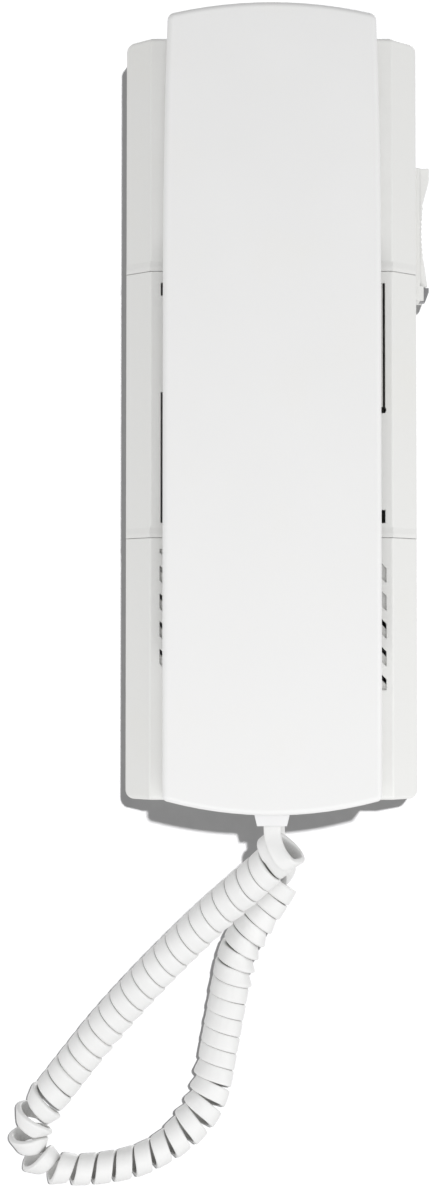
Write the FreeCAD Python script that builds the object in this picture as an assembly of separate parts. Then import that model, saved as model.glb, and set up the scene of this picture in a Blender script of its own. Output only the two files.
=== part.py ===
import FreeCAD, Part
import math
import os

# Slimline wall phone, in millimetres.
# X is to the right, Z is up, and depth is measured from the wall towards the room, which is -Y.
# The origin lies on the wall, midway between the two wall screws.

V = FreeCAD.Vector

# Base: overall sizes
base_width = 81.0
base_length = 211.0
tray_depth = 16.0
shoulder_depth = 19.0
plateau_depth = 28.0
plateau_width = 67.0
base_corner_radius = 2.5
crease_radius = 0.9
end_lip_radius = 1.1

# Base: walls, seams and beads
tray_wall = 2.2
tray_floor = 2.2
cover_wall = 1.8
upper_cover_length = 65.1
lower_cover_length = 72.1
seam_gap = 0.1
bead_height = 0.25
bead_width = 1.1
bead_run_out = 1.6

# Clearances
running_fit = 0.06
thread_fit = 0.05
loose_fit = 0.2
rest_gap = 0.3

# Wall screws and cable entry
wall_screw_spacing = 60.0
wall_hole_radius = 2.25
wall_screw_access_radius = 5.5
cable_entry_width = 20.0
cable_entry_height = 16.0
cable_entry_centre = 16.0

# Cover screws, driven from the rear
screw_column = 30.0
screw_end_inset = 17.5
screw_seam_inset = 7.0
screw_shank_radius = 1.4
screw_head_radius = 2.8
screw_head_height = 2.0
screw_head_sink = 3.0
screw_bite = 7.0
pillar_wall = 1.0
boss_radius = 3.2

# Side slots of the middle panel, laid out alike when the panel is turned half round a point
pattern_shift = 0.4
slot_symmetry_height = 3.9
slot_inner_edge = 28.0
slot_outer_edge = 31.0
long_slot_top = 37.1
long_slot_length = 36.1
short_slot_top = -25.8
short_slot_length = 3.6
slot_insert_sink = 0.9
slot_gap_width = 0.6
slot_eye_radius = 0.9

# Snap tongues of the middle panel
tongue_thickness = 1.4
tongue_width = 8.0
tongue_reach = 5.6
tongue_spread = 34.0
ledge_thickness = 1.2
ledge_overhang = 1.4
hook_height = 1.4
ledge_depth = 12.5

# Louvres in front of the call speaker: grooves with a slit along their upper side
window_width = 62.4
window_height = 38.8
window_drop = 3.2
louvre_pitch = 7.64
louvre_height = 4.1
louvre_sink = 1.2
louvre_slit = 1.4
louvre_slope = 0.991
louvre_start = -43.2
louvre_least_run = 4.0
blind_louvre_count = 2

# Circuit board
board_width = 51.0
board_top = 66.0
board_bottom = -24.0
board_depth = 6.2
board_thickness = 1.6
board_screw_edge = 4.3
standoff_radius = 3.0
board_screw_radius = 1.0
board_screw_head_radius = 2.2
board_screw_head_height = 1.6

# Terminal block
terminal_count = 6
terminal_pitch = 5.0
terminal_height = 10.0
terminal_tall = 8.2
terminal_centre = -12.0
terminal_head_radius = 1.7
terminal_head_height = 1.8
terminal_shank_radius = 1.2
terminal_shank_length = 2.4
terminal_well = 4.0
terminal_wire_radius = 1.3

# Transformer and capacitors
transformer_width = 15.0
transformer_height = 14.0
transformer_tall = 12.0
transformer_edge = 10.0
transformer_z = 44.0
capacitor_radius = 3.2
capacitor_tall = 9.0
capacitor_z = 41.0
capacitor_edge = 7.0
capacitor_pitch = 8.0

# Call speaker
speaker_radius = 20.0
speaker_centre = -55.9
speaker_gasket_thickness = 0.8
speaker_rim_thickness = 1.4
speaker_basket_wall = 1.0
speaker_basket_tall = 6.4
speaker_plate_radius = 11.5
magnet_radius = 9.5
magnet_tall = 5.5
speaker_seat_width = 1.5
speaker_tag_width = 3.0
speaker_tag_reach = 2.5
speaker_tag_overlap = 2.0
basket_window_radius = 2.6
basket_window_inset = 4.0
gasket_width = 3.0
cone_skin = 0.4
cone_neck_radius = 5.0
cone_fold_width = 2.2
dust_cap_rise = 1.2
dust_cap_crown = 1.7
magnet_edge_radius = 0.5
cradle_wall = 1.5
cradle_grip = 1.2
cradle_ledge = 1.5

# Hook switch, its button, plunger and spring
hook_height_z = 56.0
hook_switch_width = 13.0
hook_switch_height = 7.2
hook_switch_tall = 5.8
button_radius = 1.2
button_length = 2.6
button_show = 0.6
plunger_radius = 3.0
plunger_flange_radius = 5.0
plunger_flange_thickness = 1.5
plunger_travel = 3.0
plunger_stem_radius = 2.0
plunger_tip_round = 0.8
guide_wall = 2.0
guide_length = 2.1
spring_radius = 2.9
spring_wire = 0.5
spring_turns = 5

# Hanger lug on the upper cover, slanted upwards
lug_height_z = 94.0
lug_width = 14.0
lug_thickness = 5.0
lug_reach = 6.5
lug_slant = 20.0

# Side key with its bezel, stop and slide switch
key_top = 71.1
key_bottom = 37.7
key_middle_depth = 10.0
key_width = 8.2
key_wall_gap = 0.1
key_horn_reach = 3.9
key_horn_length = 3.7
key_low_reach = 3.4
key_knee_reach = 2.4
key_knee_rise = 7.0
key_saddle_reach = 1.6
key_saddle_rise = 0.4
key_grip_top = 60.4
key_grip_bottom = 46.0
key_tooth_pitch = 1.4
key_tooth_height = 0.35
key_travel = 2.6
key_neck_length = 10.0
key_neck_thickness = 4.0
key_neck_centre = 54.0
key_flange_thickness = 1.0
key_flange_margin = 3.0
bezel_reach = 1.3
bezel_wall = 1.3
bezel_end_wall = 1.2
bezel_foot_reach = 2.3
stop_width = 5.0
stop_reach = 3.9
stop_low_reach = 2.9
stop_knee_drop = 1.2
stop_peg_radius = 1.2
stop_peg_length = 2.0
slide_switch_width = 8.0
slide_switch_height = 10.4
slide_switch_tall = 6.0
slide_switch_edge = 2.0
lever_size = 2.0
lever_length = 12.5
lever_inside = 3.0
lever_overlap = 3.5

# Handset: overall sizes
handset_width = 59.0
handset_top = 111.3
handset_bottom = -108.7
handset_face_depth = 50.0
handset_joint_depth = 38.0
top_bow = 1.2
top_bow_start = 40.0
top_arc_radius = 122.0
bottom_arc_radius = 110.0
top_corner_radius = 2.2
bottom_corner_radius = 1.7
handset_edge_radius = 1.5
handset_wall = 2.0
handset_face_wall = 2.2

# Handset: grip between the ear cap and the mouth cap
grip_top = 42.0
grip_bottom = -60.0
grip_ramp = 8.0
grip_sink = 4.7

# Handset: inside
earpiece_z = 70.0
earpiece_radius = 16.0
earpiece_rim_thickness = 3.5
earpiece_back_radius = 12.0
earpiece_back_thickness = 3.5
earpiece_gasket_thickness = 1.2
earpiece_gasket_width = 6.0
earpiece_collar_wall = 1.2
earpiece_collar_height = 5.7
ear_hole_radius = 1.2
ear_hole_circle = 5.5
ear_hole_count = 6
microphone_z = -84.0
microphone_radius = 5.0
microphone_length = 4.7
sleeve_wall = 2.0
sleeve_length = 7.7
sleeve_floor = 1.0
mouth_slot_length = 6.0
mouth_slot_width = 1.2
mouth_slot_pitch = 2.6
mouth_slot_count = 3
earpiece_tag_width = 1.6
earpiece_tag_thickness = 1.5
earpiece_tag_inset = 0.4
earpiece_tag_show = 1.0
handset_screw_end_room = 2.8
handset_screw_top = 30.0
handset_screw_bottom = -50.0
ballast_width = 30.0
ballast_length = 60.0
ballast_thickness = 4.0
ballast_centre = -10.0
ballast_rib = 1.4
pocket_wall = 2.0

# Strain relief at the handset's lower end
tab_width = 10.1
tab_end_width = 8.1
tab_thickness = 7.0
tab_end_thickness = 6.0
tab_tip = -111.9
tab_offset = 0.85
tab_neck_width = 7.6
tab_neck_thickness = 5.8
tab_flange_width = 11.0
tab_flange_thickness = 1.9

# Grommet where the cord enters the base
grommet_x = 1.5
grommet_depth = 10.0
grommet_neck_radius = 2.5
grommet_flange_radius = 4.0
grommet_flange_thickness = 1.2

# Inner leads
tail_radius = 0.8
tail_straight = 11.0
tail_swing = 5.6
board_lead_x = 8.0
lead_radius = 0.6
ear_lead_x = 9.0
relief_lead_x = 2.2

# Curly cord: a round wire wound left-handed round a route
cord_radius = 1.6
coil_radius = 3.9
coil_pitch = 4.72
low_pitch = 5.6
low_level = -184.0
fold_pitch = 7.6
fold_place = (-67.0, 6.2, -201.0)
fold_reach = 16.0
route_steps = 1600
gap_sample = 0.8
lead_straight = 3.2
rise_place = (4.7, 11.5, -127.2)
bulge_place = (7.2, 14.5, -118.6)

# Route of the coil's middle line, from the handset to the base: x, depth, z
coil_route = [
    (4.6, 36.0, -118.1), (-2.7, 32.0, -124.9), (-16.7, 25.0, -137.4), (-33.1, 17.5, -154.0),
    (-45.8, 12.5, -168.1), (-54.5, 9.5, -179.2), (-60.5, 8.0, -186.9), (-66.4, 6.9, -194.5),
    (-68.6, 6.2, -201.5), (-64.5, 6.0, -207.6), (-57.4, 6.0, -209.6), (-46.8, 6.0, -209.1),
    (-35.7, 6.0, -206.8), (-25.5, 6.0, -200.5), (-17.4, 6.0, -190.8), (-14.9, 6.0, -177.1),
    (-12.3, 7.0, -162.9), (-10.1, 9.0, -149.2), (-5.1, 10.5, -140.6), (0.1, 12.0, -133.2),
    (2.3, 12.8, -129.2),
]

# Values worked out from the sizes above
base_half = base_width / 2
base_top = base_length / 2
base_bottom = -base_length / 2
plateau_half = plateau_width / 2
upper_seam = base_top - upper_cover_length
lower_seam = base_bottom + lower_cover_length
ceiling_depth = plateau_depth - cover_wall
board_front = board_depth + board_thickness
handset_half = handset_width / 2
handset_back_depth = plateau_depth + rest_gap
handset_floor_depth = handset_back_depth + handset_wall
handset_ceiling_depth = handset_face_depth - handset_face_wall
handset_bite = handset_ceiling_depth - handset_joint_depth - handset_screw_end_room
tab_depth = (handset_back_depth + handset_face_depth) / 2 + tab_offset
grip_depth = handset_back_depth + grip_sink
grip_floor_depth = grip_depth + handset_wall
screw_hole_radius = screw_shank_radius + loose_fit
counterbore_radius = screw_head_radius + loose_fit
pillar_radius = counterbore_radius + pillar_wall
key_out = base_half + key_wall_gap
slide_switch_right = board_width / 2 - slide_switch_edge
transformer_x = transformer_edge - board_width / 2
capacitor_right = board_width / 2 - capacitor_edge
lug_tangent = math.tan(math.radians(lug_slant))
upper_screws = [
    (-screw_column, base_top - screw_end_inset),
    (screw_column, base_top - screw_end_inset),
    (-screw_column, upper_seam + screw_seam_inset),
]
lower_screws = [
    (-screw_column, base_bottom + screw_end_inset),
    (screw_column, base_bottom + screw_end_inset),
    (-screw_column, lower_seam - screw_seam_inset),
]
handset_screws_at = [(0, handset_screw_top), (0, handset_screw_bottom)]


def at(x, depth, z):
    """A point from its distance to the right, out from the wall and up."""
    return V(x, -depth, z)


def block(x0, x1, d0, d1, z0, z1):
    """A box between two values in each direction."""
    return Part.makeBox(x1 - x0, d1 - d0, z1 - z0, at(x0, d1, z0))


def post(x, z, radius, d0, d1):
    """A round bar that stands out from the wall."""
    return Part.makeCylinder(radius, d1 - d0, at(x, d0, z), V(0, -1, 0))


def ring(x, z, outer, inner, d0, d1):
    """A round bar with a bore."""
    return post(x, z, outer, d0, d1).cut(post(x, z, inner, d0 - 1, d1 + 1))


def polygon(points):
    """A closed wire through points."""
    return Part.makePolygon(points + points[:1])


def along_z(points, z0, z1):
    """A prism over a section of (x, depth) points, from z0 up to z1."""
    wire = polygon([at(x, depth, z0) for x, depth in points])
    return Part.Face(wire).extrude(V(0, 0, z1 - z0))


def along_x(points, x0, x1):
    """A prism over a profile of (depth, z) points, from x0 to x1."""
    wire = polygon([at(x0, depth, z) for depth, z in points])
    return Part.Face(wire).extrude(V(x1 - x0, 0, 0))


def outwards(points, d0, d1):
    """A prism over a plan of (x, z) points, from depth d0 out to d1."""
    wire = polygon([at(x, d0, z) for x, z in points])
    return Part.Face(wire).extrude(V(0, d0 - d1, 0))


def lathe(points, x, z):
    """A turned piece from (radius, depth) points, about an axis that stands out from the wall."""
    wire = polygon([at(x + radius, depth, z) for radius, depth in points])
    return Part.Face(wire).revolve(at(x, 0, z), V(0, 1, 0), 360)


def edge_runs(edge, direction):
    """True for a straight edge along a direction."""
    if not isinstance(edge.Curve, Part.Line):
        return False
    return abs(abs(edge.tangentAt(edge.FirstParameter).dot(direction)) - 1) < 1e-6


def edge_lies_at(edge, axis, value):
    """True for an edge whose box has no thickness along an axis, at a value."""
    box = edge.BoundBox
    low = getattr(box, axis + "Min")
    high = getattr(box, axis + "Max")
    return abs(low - value) < 1e-4 and abs(high - value) < 1e-4


def bend(before, corner, after):
    """The arc that rounds a corner of a route, with its two ends and its radius."""
    back = (before - corner).normalize()
    onward = (after - corner).normalize()
    reach = 0.45 * min(before.distanceToPoint(corner), after.distanceToPoint(corner))
    half_turn = (math.pi - back.getAngle(onward)) / 2
    radius = reach / math.tan(half_turn)
    inward = (back + onward).normalize()
    middle = corner + inward * (radius / math.cos(half_turn) - radius)
    start = corner + back * reach
    end = corner + onward * reach
    return Part.Arc(start, middle, end).toShape(), start, end, radius


def rounded_path(points):
    """Straight runs joined by tangent arcs, with the least radius."""
    edges = []
    radii = []
    last = points[0]
    for before, corner, after in zip(points, points[1:], points[2:]):
        turn, start, end, radius = bend(before, corner, after)
        edges.append(Part.LineSegment(last, start).toShape())
        edges.append(turn)
        radii.append(radius)
        last = end
    edges.append(Part.LineSegment(last, points[-1]).toShape())
    return edges, radii


def swept(edges, radius):
    """A round tube along joined edges."""
    first = edges[0]
    start = first.valueAt(first.FirstParameter)
    heading = first.tangentAt(first.FirstParameter)
    circle = Part.Wire([Part.makeCircle(radius, start, heading)])
    shape = Part.Wire(edges).makePipeShell([circle], True, False)
    if shape.ShapeType == "Solid":
        return shape
    return Part.Solid(shape)


def lead(name, points, radius):
    """An inner lead, whose least bend is printed."""
    edges, radii = rounded_path([at(*point) for point in points])
    print(name, "least bend radius", round(min(radii), 2), "on a wire of", 2 * radius)
    return swept(edges, radius)


def shoulder_line(inset):
    """Where the sloping shoulder, moved in by a distance, reaches at a width or a depth."""
    run = base_half - plateau_half
    rise = plateau_depth - shoulder_depth
    slant = math.hypot(run, rise)
    level = (rise * base_half + run * shoulder_depth) / slant - inset
    return run / slant, rise / slant, level


def cover_section(inset, side, floor):
    """The covers' cross-section, moved in by an inset, between side walls and above a floor."""
    across, out, level = shoulder_line(inset)
    top = plateau_depth - inset
    side_depth = (level - out * side) / across
    top_half = (level - across * top) / out
    return [
        (-side, floor), (-side, side_depth), (-top_half, top),
        (top_half, top), (side, side_depth), (side, floor),
    ]


def cover_body(z0, z1, round_top, round_bottom):
    """The outside of a cover, rounded at the end that isn't a seam."""
    body = along_z(cover_section(0, base_half, tray_depth), z0, z1)
    ends = []
    if round_top:
        ends.append(z1)
    if round_bottom:
        ends.append(z0)
    corners = [
        edge for edge in body.Edges
        if edge_runs(edge, V(0, 1, 0)) and any(edge_lies_at(edge, "Z", z) for z in ends)
    ]
    if corners:
        body = body.makeFillet(base_corner_radius, corners)
    creases = [
        edge for edge in body.Edges
        if edge_runs(edge, V(0, 0, 1)) and edge_lies_at(edge, "Y", -plateau_depth)
    ]
    body = body.makeFillet(crease_radius, creases)
    lips = [
        edge for edge in body.Edges
        if any(edge_lies_at(edge, "Z", z) for z in ends)
        and edge.BoundBox.YMin < -plateau_depth + crease_radius
        and edge.BoundBox.YMax < -shoulder_depth
    ]
    if lips:
        body = body.makeFillet(end_lip_radius, lips)
    return body


def cover_hollow(z0, z1):
    """The space inside a cover."""
    section = cover_section(cover_wall, base_half - cover_wall, tray_depth - 1)
    return along_z(section, z0, z1)


def bead(z):
    """The raised bead along a cover's lower edge, which runs out into the cover above it."""
    raised = cover_section(-bead_height, base_half, shoulder_depth)
    plain = cover_section(0, base_half, shoulder_depth)
    band = along_z(raised, z, z + bead_width)
    lower = polygon([at(x, depth, z + bead_width) for x, depth in raised])
    upper = polygon([at(x, depth, z + bead_width + bead_run_out) for x, depth in plain])
    return band.fuse(Part.makeLoft([lower, upper], True, True))


def screw_bosses(places):
    """Bosses under a cover for the screws from the rear."""
    return [post(x, z, boss_radius, tray_depth, ceiling_depth + cover_wall / 4) for x, z in places]


def screw_pilots(places):
    """Pilot holes in the bosses."""
    radius = screw_shank_radius + thread_fit
    return [post(x, z, radius, tray_depth - 1, tray_depth + screw_bite + 1) for x, z in places]


def tongue_places():
    """Heights of the snap tongues, either side of the middle panel's centre."""
    middle = (upper_seam + lower_seam) / 2
    return [middle - tongue_spread / 2, middle + tongue_spread / 2]


def rear_shell():
    """The tray that is screwed to the wall and carries everything else of the base."""
    shell = block(-base_half, base_half, 0, tray_depth, base_bottom, base_top)
    corners = [edge for edge in shell.Edges if edge_runs(edge, V(0, 1, 0))]
    shell = shell.makeFillet(base_corner_radius, corners)
    inner_half = base_half - tray_wall
    shell = shell.cut(block(
        -inner_half, inner_half, tray_floor, tray_depth + 1, base_bottom + tray_wall, base_top - tray_wall
    ))

    # Pillars, standoffs, ledges for the snap tongues, and the speaker's cradle
    added = [post(x, z, pillar_radius, tray_floor / 2, tray_depth) for x, z in upper_screws + lower_screws]
    added += [post(x, z, standoff_radius, tray_floor / 2, board_depth) for x, z in board_screw_places()]
    for z in tongue_places():
        for side in (-1, 1):
            edges = sorted([side * (inner_half - ledge_overhang), side * (base_half - tray_wall / 2)])
            added.append(block(
                edges[0], edges[1], ledge_depth, ledge_depth + ledge_thickness,
                z - tongue_width / 2, z + tongue_width / 2,
            ))
    added.append(post(0, speaker_centre, cradle_outer(), tray_floor / 2, magnet_back() + cradle_grip))
    shell = shell.fuse(added)

    cuts = [post(x, z, screw_hole_radius, -1, tray_depth + 1) for x, z in upper_screws + lower_screws]
    cuts += [post(x, z, counterbore_radius, -1, screw_head_sink) for x, z in upper_screws + lower_screws]
    pilot = board_screw_radius + thread_fit
    cuts += [post(x, z, pilot, tray_floor, board_depth + 1) for x, z in board_screw_places()]
    for z in (-wall_screw_spacing / 2, wall_screw_spacing / 2):
        cuts.append(post(0, z, wall_hole_radius, -1, tray_floor + 1))
    cuts.append(block(
        -cable_entry_width / 2, cable_entry_width / 2, -1, tray_floor + 1,
        cable_entry_centre - cable_entry_height / 2, cable_entry_centre + cable_entry_height / 2,
    ))
    cuts.append(post(0, speaker_centre, magnet_radius - cradle_ledge, tray_floor, tray_depth))
    cuts.append(post(0, speaker_centre, magnet_radius + loose_fit, magnet_back(), tray_depth))
    cuts.append(block(
        inner_half - 1, base_half + 1,
        key_middle_depth - key_neck_thickness / 2 - rest_gap,
        key_middle_depth + key_neck_thickness / 2 + rest_gap,
        key_neck_centre - key_neck_length / 2 - key_travel - rest_gap,
        key_neck_centre + key_neck_length / 2 + rest_gap,
    ))
    cuts.append(Part.makeCylinder(
        stop_peg_radius + thread_fit, tray_wall + 2,
        at(inner_half - 1, key_middle_depth, (bezel_bottom() + stop_top()) / 2), V(1, 0, 0),
    ))
    cuts.append(Part.makeCylinder(
        grommet_neck_radius + thread_fit, tray_wall + 2,
        at(grommet_x, grommet_depth, base_bottom - 1), V(0, 0, 1),
    ))
    return shell.cut(cuts).removeSplitter()


def lug_profile(clearance, d0, d1):
    """The slanted lug's side profile between two depths, grown by a clearance in height."""
    low = lug_height_z - lug_thickness / 2 - clearance
    high = lug_height_z + lug_thickness / 2 + clearance
    rise = lug_tangent
    return [
        (d0, low + (d0 - plateau_depth) * rise),
        (d0, high + (d0 - plateau_depth) * rise),
        (d1, high + (d1 - plateau_depth) * rise),
        (d1, low + (d1 - plateau_depth) * rise),
    ]


def upper_cover():
    """The cover above the upper seam, with the hanger lug and the plunger's guide."""
    cover = cover_body(upper_seam, base_top, True, False)
    cover = cover.fuse(bead(upper_seam))
    cover = cover.cut(cover_hollow(upper_seam - 1, base_top - cover_wall))
    guide = post(
        0, hook_height_z, plunger_radius + guide_wall,
        ceiling_depth - guide_length, ceiling_depth + cover_wall / 4,
    )
    lug_side = lug_profile(0, plateau_depth - cover_wall / 2, plateau_depth + lug_reach)
    lug = along_x(lug_side, -lug_width / 2, lug_width / 2)
    cover = cover.fuse(screw_bosses(upper_screws) + [guide, lug])
    hole = post(0, hook_height_z, plunger_radius + running_fit, tray_depth, plateau_depth + 1)
    return cover.cut(screw_pilots(upper_screws) + [hole]).removeSplitter()


def middle_panel():
    """The panel between the seams, which snaps in, with four narrow slots."""
    bottom = lower_seam
    top = upper_seam - seam_gap
    panel = cover_body(bottom, top, False, False)
    panel = panel.fuse(bead(bottom))
    outside = panel
    panel = panel.cut(cover_hollow(bottom - 1, top + 1))

    tongues = []
    tongue_out = base_half - tray_wall - ledge_overhang - rest_gap
    tongue_in = tongue_out - tongue_thickness
    hook_top = ledge_depth - loose_fit
    half = tongue_width / 2 - loose_fit
    tongue_low = tray_depth - tongue_reach
    for z in tongue_places():
        for side in (-1, 1):
            stem = sorted([side * tongue_in, side * tongue_out])
            hook = sorted([side * tongue_out, side * (tongue_out + ledge_overhang - loose_fit)])
            stem_block = block(stem[0], stem[1], tongue_low, plateau_depth, z - half, z + half)
            tongues.append(stem_block.common(outside.fuse(block(
                -base_half, base_half, 0, shoulder_depth, bottom, top
            ))))
            tongues.append(block(hook[0], hook[1], hook_top - hook_height, hook_top, z - half, z + half))
    panel = panel.fuse(tongues)

    # The right long slot is a shallow step with a narrow gap; the other three go through
    through = ceiling_depth - 1
    beyond = plateau_depth + 1
    right_inner = pattern_shift + slot_inner_edge
    right_outer = pattern_shift + slot_outer_edge
    left_inner = pattern_shift - slot_inner_edge
    left_outer = pattern_shift - slot_outer_edge
    cuts = [
        block(
            right_inner, right_outer, plateau_depth - slot_insert_sink, beyond,
            long_slot_top - long_slot_length, long_slot_top,
        ),
        block(
            right_outer - slot_gap_width, right_outer, through, beyond,
            long_slot_top - long_slot_length, long_slot_top,
        ),
        post(
            right_outer - slot_gap_width, long_slot_top - long_slot_length + slot_eye_radius,
            slot_eye_radius, through, beyond,
        ),
        block(
            right_inner, right_outer, through, beyond, short_slot_top - short_slot_length, short_slot_top
        ),
    ]
    mirror = 2 * slot_symmetry_height
    for slot_top, length in ((long_slot_top, long_slot_length), (short_slot_top, short_slot_length)):
        cuts.append(block(
            left_outer, left_inner, through, beyond, mirror - slot_top, mirror - slot_top + length
        ))
    return panel.cut(cuts).removeSplitter()


def louvre_strip(low, high, d0, d1):
    """A diagonal strip in the window, falling to the right from its two heights at the left edge."""
    left = pattern_shift - window_width / 2
    right = pattern_shift + window_width / 2
    top = lower_seam - window_drop
    fall = louvre_slope * window_width
    window = block(left, right, d0, d1, top - window_height, top)
    corners = [(left, low), (left, high), (right, high - fall), (right, low - fall)]
    return outwards(corners, d0, d1).common(window)


def louvre_cuts():
    """The grooves, and the slits through all but the short ones at the window's upper right corner."""
    top = lower_seam - window_drop
    bottom = top - window_height
    fall = louvre_slope * window_width
    groove_depth = plateau_depth - louvre_sink
    front = plateau_depth + 1
    least_volume = louvre_least_run * louvre_height * (front - groove_depth)
    first = math.ceil((bottom - louvre_height - louvre_start) / louvre_pitch)
    last = math.floor((top + fall + louvre_height - louvre_start) / louvre_pitch)
    grooves = []
    slits = []
    for step in range(first, last + 1):
        low = louvre_start + step * louvre_pitch - louvre_height / 2
        high = low + louvre_height
        groove = louvre_strip(low, high, groove_depth, front)
        if groove.Volume > least_volume:
            grooves.append(groove)
            slits.append(louvre_strip(high - louvre_slit, high, ceiling_depth - 1, front))
    return grooves + slits[:-blind_louvre_count]


def lower_cover():
    """The cover below the lower seam, with the louvres."""
    top = lower_seam - seam_gap
    cover = cover_body(base_bottom, top, False, True)
    cover = cover.cut(cover_hollow(base_bottom + cover_wall, top + 1))
    cover = cover.fuse(screw_bosses(lower_screws))
    return cover.cut(screw_pilots(lower_screws) + louvre_cuts()).removeSplitter()


def screw(x, z, seat, sign, head_radius, head_height, shank_radius, length):
    """A screw whose head bears on a seat, with its shank towards sign * depth."""
    head = sorted([seat - sign * head_height, seat])
    shank = sorted([seat - sign * head_height / 2, seat + sign * length])
    body = post(x, z, head_radius, head[0], head[1]).fuse(post(x, z, shank_radius, shank[0], shank[1]))
    face = seat - sign * head_height
    recess = sorted([face, face + sign * head_height / 2])
    arm = head_radius * 0.6
    width = head_radius * 0.16
    body = body.cut([
        block(x - arm, x + arm, recess[0], recess[1], z - width, z + width),
        block(x - width, x + width, recess[0], recess[1], z - arm, z + arm),
    ])
    return body.removeSplitter()


def cover_screws():
    """Six screws from the rear, three into each screwed cover."""
    length = tray_depth + screw_bite - screw_head_sink
    return Part.makeCompound([
        screw(x, z, screw_head_sink, 1, screw_head_radius, screw_head_height, screw_shank_radius, length)
        for x, z in upper_screws + lower_screws
    ])


def board_screw_places():
    """Places of the board's four screws."""
    x = board_width / 2 - board_screw_edge
    high = board_top - board_screw_edge
    low = board_bottom + board_screw_edge
    return [(-x, high), (-x, low), (x, high), (x, low)]


def circuit_board():
    """The board, open round the cable entry and the upper wall screw."""
    half = board_width / 2
    board = block(-half, half, board_depth, board_front, board_bottom, board_top)
    low = board_depth - 1
    high = board_front + 1
    entry_half = cable_entry_width / 2 + loose_fit
    cuts = [
        block(
            -entry_half, entry_half, low, high,
            cable_entry_centre - cable_entry_height / 2 - loose_fit,
            cable_entry_centre + cable_entry_height / 2 + loose_fit,
        ),
        post(0, wall_screw_spacing / 2, wall_screw_access_radius, low, high),
        post(0, -wall_screw_spacing / 2, wall_screw_access_radius, low, high),
    ]
    cuts += [post(x, z, board_screw_radius + loose_fit, low, high) for x, z in board_screw_places()]
    return board.cut(cuts).removeSplitter()


def board_screws():
    """Four screws that hold the board on its standoffs."""
    length = board_front - tray_floor - loose_fit
    return Part.makeCompound([
        screw(
            x, z, board_front, -1, board_screw_head_radius, board_screw_head_height,
            board_screw_radius, length,
        )
        for x, z in board_screw_places()
    ])


def terminal_xs():
    """Middles of the terminals across the block."""
    first = -terminal_pitch * (terminal_count - 1) / 2
    return [first + terminal_pitch * index for index in range(terminal_count)]


def terminal_block():
    """The block for the riser wires, with a screw well and a wire hole for each way."""
    half = terminal_pitch * terminal_count / 2
    top = board_front + terminal_tall
    body = block(
        -half, half, board_front, top,
        terminal_centre - terminal_height / 2, terminal_centre + terminal_height / 2,
    )
    cuts = []
    for x in terminal_xs():
        cuts.append(post(x, terminal_centre, terminal_head_radius + loose_fit, top - terminal_well, top + 1))
        cuts.append(post(
            x, terminal_centre, terminal_shank_radius + thread_fit,
            top - terminal_well - terminal_shank_length - loose_fit, top,
        ))
        cuts.append(Part.makeCylinder(
            terminal_wire_radius, terminal_height / 4,
            at(x, board_front + terminal_tall / 4, terminal_centre - terminal_height / 2), V(0, 0, 1),
        ))
    return body.cut(cuts).removeSplitter()


def terminal_screws():
    """One clamping screw in each well."""
    seat = board_front + terminal_tall - terminal_well
    return Part.makeCompound([
        screw(
            x, terminal_centre, seat, -1, terminal_head_radius, terminal_head_height,
            terminal_shank_radius, terminal_shank_length,
        )
        for x in terminal_xs()
    ])


def speech_transformer():
    """A laminated core with its winding showing between the core's legs."""
    half_w = transformer_width / 2
    half_h = transformer_height / 2
    x = transformer_x
    z = transformer_z
    core_front = board_front + transformer_tall
    winding_front = board_front + transformer_tall * 0.8
    core = block(x - half_w, x + half_w, board_front, core_front, z - half_h / 2, z + half_h / 2)
    winding = block(x - half_w / 2, x + half_w / 2, board_front, winding_front, z - half_h, z + half_h)
    return core.fuse(winding).removeSplitter()


def capacitors():
    """Two round capacitors on the board."""
    cans = []
    for x in (capacitor_right - capacitor_pitch, capacitor_right):
        can = post(x, capacitor_z, capacitor_radius, board_front, board_front + capacitor_tall)
        rim = [edge for edge in can.Edges if edge_lies_at(edge, "Y", -board_front - capacitor_tall)]
        cans.append(can.makeFillet(capacitor_radius / 6, rim))
    return Part.makeCompound(cans)


def rim_back():
    """Depth of the rear face of the speaker's rim."""
    return ceiling_depth - speaker_gasket_thickness - speaker_rim_thickness


def plate_back():
    """Depth of the rear face of the speaker's plate."""
    return rim_back() - speaker_basket_tall - speaker_basket_wall


def magnet_back():
    """Depth of the magnet's rear face, which sits in the cradle."""
    return plate_back() - magnet_tall


def speaker_tag_end():
    """Height of the end of the speaker's tag."""
    return speaker_centre + speaker_plate_radius + speaker_tag_reach


def cradle_outer():
    """Outer radius of the ring in the tray that the magnet sits in."""
    return magnet_radius + loose_fit + cradle_wall


def call_speaker_frame():
    """The pressed frame: a rim, a conical basket and a plate, with a tag for its leads."""
    rim_back_depth = rim_back()
    rim_front = ceiling_depth - speaker_gasket_thickness
    seat = speaker_radius - speaker_seat_width
    ledge = rim_back_depth + speaker_rim_thickness / 3
    plate_front = plate_back() + speaker_basket_wall
    frame = lathe([
        (speaker_radius, rim_back_depth), (speaker_radius, rim_front), (seat, rim_front), (seat, ledge),
        (seat - speaker_seat_width, ledge), (speaker_plate_radius - speaker_basket_wall, plate_front),
        (speaker_plate_radius / 3, plate_front), (speaker_plate_radius / 3, plate_back()),
        (speaker_plate_radius, plate_back()), (seat, rim_back_depth),
    ], 0, speaker_centre)
    windows = []
    circle = speaker_radius - basket_window_inset
    for turn in (45, 135, 225, 315):
        angle = math.radians(turn)
        windows.append(post(
            circle * math.cos(angle), speaker_centre + circle * math.sin(angle),
            basket_window_radius, plate_back() - 1, ledge,
        ))
    frame = frame.cut(windows)
    tag = block(
        -speaker_tag_width / 2, speaker_tag_width / 2, plate_back(), plate_front,
        speaker_centre + speaker_plate_radius - speaker_tag_overlap, speaker_tag_end(),
    )
    return frame.fuse(tag).removeSplitter()


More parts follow.
